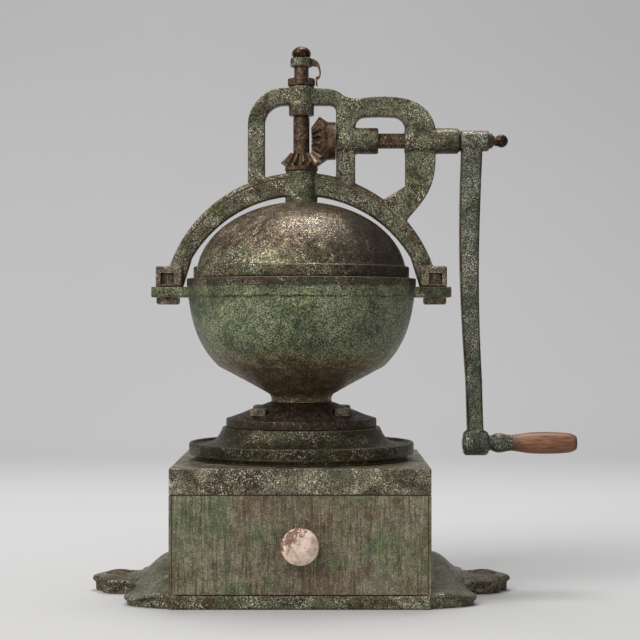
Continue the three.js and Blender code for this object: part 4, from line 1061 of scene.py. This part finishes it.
def make_shaft():
    shaft = [(0, 10.6), (SHAFT_RADIUS, 10.6), (SHAFT_RADIUS, 168.2), (3, 168.2), (3, 177), (0, 177)]
    place("drive_shaft", lathe_x(rounded(shaft, 0.5), SHAFT_Z), "rusty_iron")
    place("thrust_washer", lathe_x(ring_profile(7.1, 9.9, 141.3, 142.5, 0.25), SHAFT_Z), "bronze")
    nut = [(3.3, 168.8), (6.8, 168.8), (6.8, 170.6), (6, 171.6), (4.6, 172.6), (4.4, 173.4), (3.3, 173.4)]
    place("hub_nut", lathe_x(rounded(nut, 0.4), SHAFT_Z), "rusty_iron")
    ball = arc((179.8, 0), 5.9, 126, 0, 24)
    neck = [(0, 177.4), (3.3, 177.4), (3.3, 173.8), (4.4, 173.8)]
    line = [*neck, *[(z, x) for x, z in ball[:-1]], (0, 185.7)]
    place("ball_nut", lathe_x(line, SHAFT_Z), "bronze")


def arm_centre(along):
    """Middle of the crank arm at a part of its length, counted from the shaft."""
    return 153.6 - 2.9 * math.sin(math.pi * min(along / 0.8, 1)) + 3.1 * along ** 4


def arm_width(along):
    part = min(max((along - 0.05) / 0.85, 0), 1)
    return 19 - 4.4 * part * part * (3 - 2 * part)


def make_crank_arm():
    right, left = [], []
    steps = 40
    for i in range(steps + 1):
        along = i / steps
        z = SHAFT_Z + 5 - (SHAFT_Z + 5 - GRIP_Z) * along
        right.append((arm_centre(along) + arm_width(along) / 2, z))
        left.append((arm_centre(along) - arm_width(along) / 2, z))
    bar = plate([[*left, *reversed(right)]], 13, 2.6)
    hub = lathe_x([(0, 142.8), (8.6, 142.8), (9.3, 143.6), (9.3, 167.6), (8.6, 168.4), (0, 168.4)], SHAFT_Z)
    eye = lathe_x([(0, 145.5), (9.2, 145.5), (11.2, 147.6), (11.2, 165.6), (9.2, 168), (0, 168)], GRIP_Z)
    casting = cast_surface(join(bar, hub, eye), 0.7, 4)
    bore = rod_x(SHAFT_RADIUS + GAP, 130, 172, SHAFT_Z)
    pin_hole = rod_x(4.3, 130, 172, GRIP_Z)
    place("crank_arm", cut(casting, bore, pin_hole), "crank", 40)


def make_grip():
    pin = [(0, 144.4), (3, 144.4), (6, 144.9), (6, 145.2), (4, 145.4), (4, 246.0), (3.6, 246.4), (0, 246.4)]
    place("grip_spindle", lathe_x(pin, GRIP_Z, 48), "dark_steel")
    ferrule = [(4.4, 168.6), (6.9, 168.6), (6.7, 170.6)]
    ferrule += smooth_line([(6.7, 170.8), (8, 173.4), (8.7, 176.4), (8.5, 180), (7.5, 185), (7.1, 189)], 5)
    place("grip_ferrule", lathe_x([*ferrule, (4.4, 189)], GRIP_Z), "crank")
    body = smooth_line([
        (7, 189.4), (8.2, 197), (9.4, 206), (9.8, 217), (9.6, 230), (8.6, 241), (6.6, 246.2),
    ], 7)
    line = rounded([*body, (5.6, 247.3), (4.4, 247.6), (4.4, 189.4)], 0.6)
    place("wooden_grip", lathe_x(line, GRIP_Z, 80), "grip_wood")


# ---- Spindle and grind adjustment ----


def make_spindle():
    line = [
        (0, 119.6), (6, 119.6), (6, 134.3), (8, 134.3), (8, 162), (7.3, 163.4), (7.3, 424.4), (6.5, 425),
        (6.5, 478.2), (3.4, 478.2), (3.4, SPINDLE_TOP), (0, SPINDLE_TOP),
    ]
    place("main_spindle", lathe(rounded(line, 0.4), 64), "rusty_iron")
    nut = rounded([
        (6.8, 452.9), (11.6, 452.9), (12.2, 453.5), (12.2, 458.8), (11.5, 459.4), (6.8, 459.4), (6.8, 452.9),
    ], 0.3)[:-1]
    notches = [block(11.2, 14, -1.1, 1.1, 450, 470).turned(45 * i + 22.5) for i in range(8)]
    place("adjusting_nut", cut(mesh_of(lathe(nut, 96)), *notches), "rusty_iron")
    collar = [(6.8, 470), (9.3, 470), (9.9, 470.8), (9.9, 477), (9.2, 477.9), (6.8, 477.9)]
    slot = block(8.2, 12, -3.3, 3.3, 468, 480)
    place("pawl_collar", cut(mesh_of(lathe(rounded(collar, 0.4), 80)), slot), "crank")
    crown = arc((0, 481.6), (8.6, 6.8), 10, 90, 14)[:-1]
    foot = [(0, 484.6), (3.7, 484.6), (3.7, 478.6), (7.6, 478.6), (8.4, 480.4)]
    place("acorn_nut", lathe([*foot, *crown, (0, 488.4)], 72), "bronze")


def make_pawl():
    """The bowed spring leaf that hooks over the rim of the adjusting nut."""
    line = [(8.6, 471), (14.4, 470.4)]
    onward(line, 12, (17.2, 465), (15.4, 461.6))
    line += [(12.9, 460.8), (12.8, 454.4), (14.6, 452.2), (14.2, 458.6)]
    onward(line, 12, (19.6, 461.4), (16.2, 471.8))
    onward(line, 12, (13.6, 477), (8.6, 477.4))
    place("spring_pawl", plate([line], 6, 0.35), "rusty_iron")


def finish_other_nodes():
    """Gives the CAD nodes that are still shown the finish of their slot."""
    for node, thing in frame["nodes"].items():
        if thing.hide_render:
            continue
        finish = FINISHES[SLOT_OF[node]]
        if not thing.material_slots:
            thing.data.materials.append(finish)
        for slot in thing.material_slots:
            slot.material = finish


add_camera()
add_lights()
add_backdrop(backdrop_paint())
bpy.context.scene.view_settings.view_transform = "Standard"

# The finishes: some by material slot, and one of its own for most castings.
FINISHES = {
    "bowl": patina(
        "patina_bowl", ("56634a", "7d8b68", "99a77c", "acb792", "948e66"),
        ("64492f", "9c7c58", "c4a47c"), rust=0.2, pale=0.6, seed=1.7, below=200,
        bands=((272.3, 281, "4c3c2b"), (262.2, 264, "5c4a35")), clouds=("8c914a", "8a9a82"),
        # Nearly black towards the lugs, more on the right one: dark lugs, and painted shade on the shadow
        # side.
        soot_and_shade_from=(("X", 98, 116, 0.7), ("X", -98, -122, 0.4)), metal=0.4, dark=0.75, rough=(0.32, 0.56),
    ),
    "dome": patina(
        "patina_dome", ("454a30", "646846", "7e8058", "8c8460", "6a5538"),
        ("301f12", "70553a", "ad9270"), rust=0.65, seed=4.4,
        bands=((278.5, 281.5, "4c3c2b"), (288.6, 291, "54422f")), clouds=("66693a", "8c7c5e"),
        # Brown and nearly black towards +X: brown patina, and painted shade on the dome's right side, away
        # from the key light.
        brown_from=(("Z", 288, 316, 0.95), ("X", 10, 60, 0.95)), soot_and_shade_from=(("X", 2, 72, 0.85),),
        metal=0.45, rough=(0.22, 0.5),
    ),
    "base": patina(
        "patina_base", ("55563f", "7c7e61", "97987e", "aca88d", "84735a"),
        ("32261b", "6a5034", "947550"), rust=0.7, seed=7.9, walls=(132, 150), calm=0.85, metal=0.4,
        rough=(0.28, 0.56),
    ),
    # The pedestal's very dark palette is partly painted shade, for the shade of the bowl above it.
    "pedestal": patina(
        "patina_pedestal", ("1d1e0f", "303118", "403f20", "4c4728", "3c2c14"),
        ("22180d", "46341f", "6c5334"), rust=0.7, pale=0.6, seed=2.6, clouds=("3c4016", "3c3824"),
        metal=0.55, dark=0.8, rough=(0.34, 0.6), edge=("a3926e", 0.85, 1.5),
    ),
    "yoke": patina(
        "patina_yoke", ("454a34", "626c4e", "7a7e60", "8e8c72", "6e5c44"), rust=0.65, seed=5.2,
        bands=((262, 291, "8e7b68"),), rim=7.0, metal=0.45, dark=0.95,
    ),
    # The top plate's pale edge colour is a painted highlight along its edges.
    "speckled_iron": patina(
        "speckled_iron", ("5a5c43", "868468", "a59d80", "c0b89c", "8a6e50"), rust=0.75, seed=3.1,
        edge=("a09274", 0.5, 1.0),
    ),
    "crank": patina(
        "patina_crank", ("434939", "616958", "7b8171", "939585", "6c6453"), rust=0.35, seed=8.3,
        soot_and_shade_from=(("Z", 110, 70, 0.45),), rim=6.5, metal=0.5, rough=(0.24, 0.56),
    ),
    "rusty_iron": iron("rusty_iron", ("2c2119", "54402f", "7f654e")),
    "bolt_iron": iron("bolt_iron", ("4a3e33", "7c6e5f", "a39684"), 0.4, 0.5, 1.0, (0.3, 0.5)),
    # nut_iron is lighter than the other irons, with pale edges and little crevice shade: partly painted
    # light on the yoke nuts, which sit in shade in their pockets.
    "nut_iron": iron("nut_iron", ("6f6056", "a09186", "c6baac"), 0.5, 0.3, 4.0, (0.26, 0.46),
                     ("d8cbb8", 0.6), 0.3, 0.12),
    "housing": iron("housing_iron", ("1f1811", "33271b", "4c3d2b"), 0.25, 0.3, 2.0),
    "dark_steel": iron("dark_steel", ("4a3f3a", "7a6e66", "a39888"), 0.5, 0.6, 4.0, (0.26, 0.46)),
    # gear_iron's pale tooth edges are partly worn metal and partly painted highlights that make the teeth
    # read.
    "gear_iron": iron("gear_iron", ("3a2a1f", "5f4938", "86705a"), 0.12, 0.5, 4.0, (0.3, 0.5),
                      ("b09474", 0.6), 0.1),
    "burr_steel": iron("burr_steel", ("55534f", "77756f", "92908a"), 0.2, 0.9, 5.0, (0.3, 0.45)),
    "bronze": iron("bronze", ("20160e", "40301f", "6e5236"), 0.15, 0.85, 6.0, (0.22, 0.4), ("8a6a48", 0.3)),
    "painted_wood": painted_wood(),
    "plain_wood": plain_wood(),
    "grip_wood": grip_wood(),
    "knob_enamel": enamel(),
}

for make in (make_base, make_ear_screws, make_boards, make_knob, make_pedestal, make_housing, make_bowl,
             make_dome, make_hatch, make_yoke, make_bushes, make_yoke_bolts, make_gears, make_shaft,
             make_crank_arm, make_grip, make_spindle, make_pawl, finish_other_nodes):
    make()
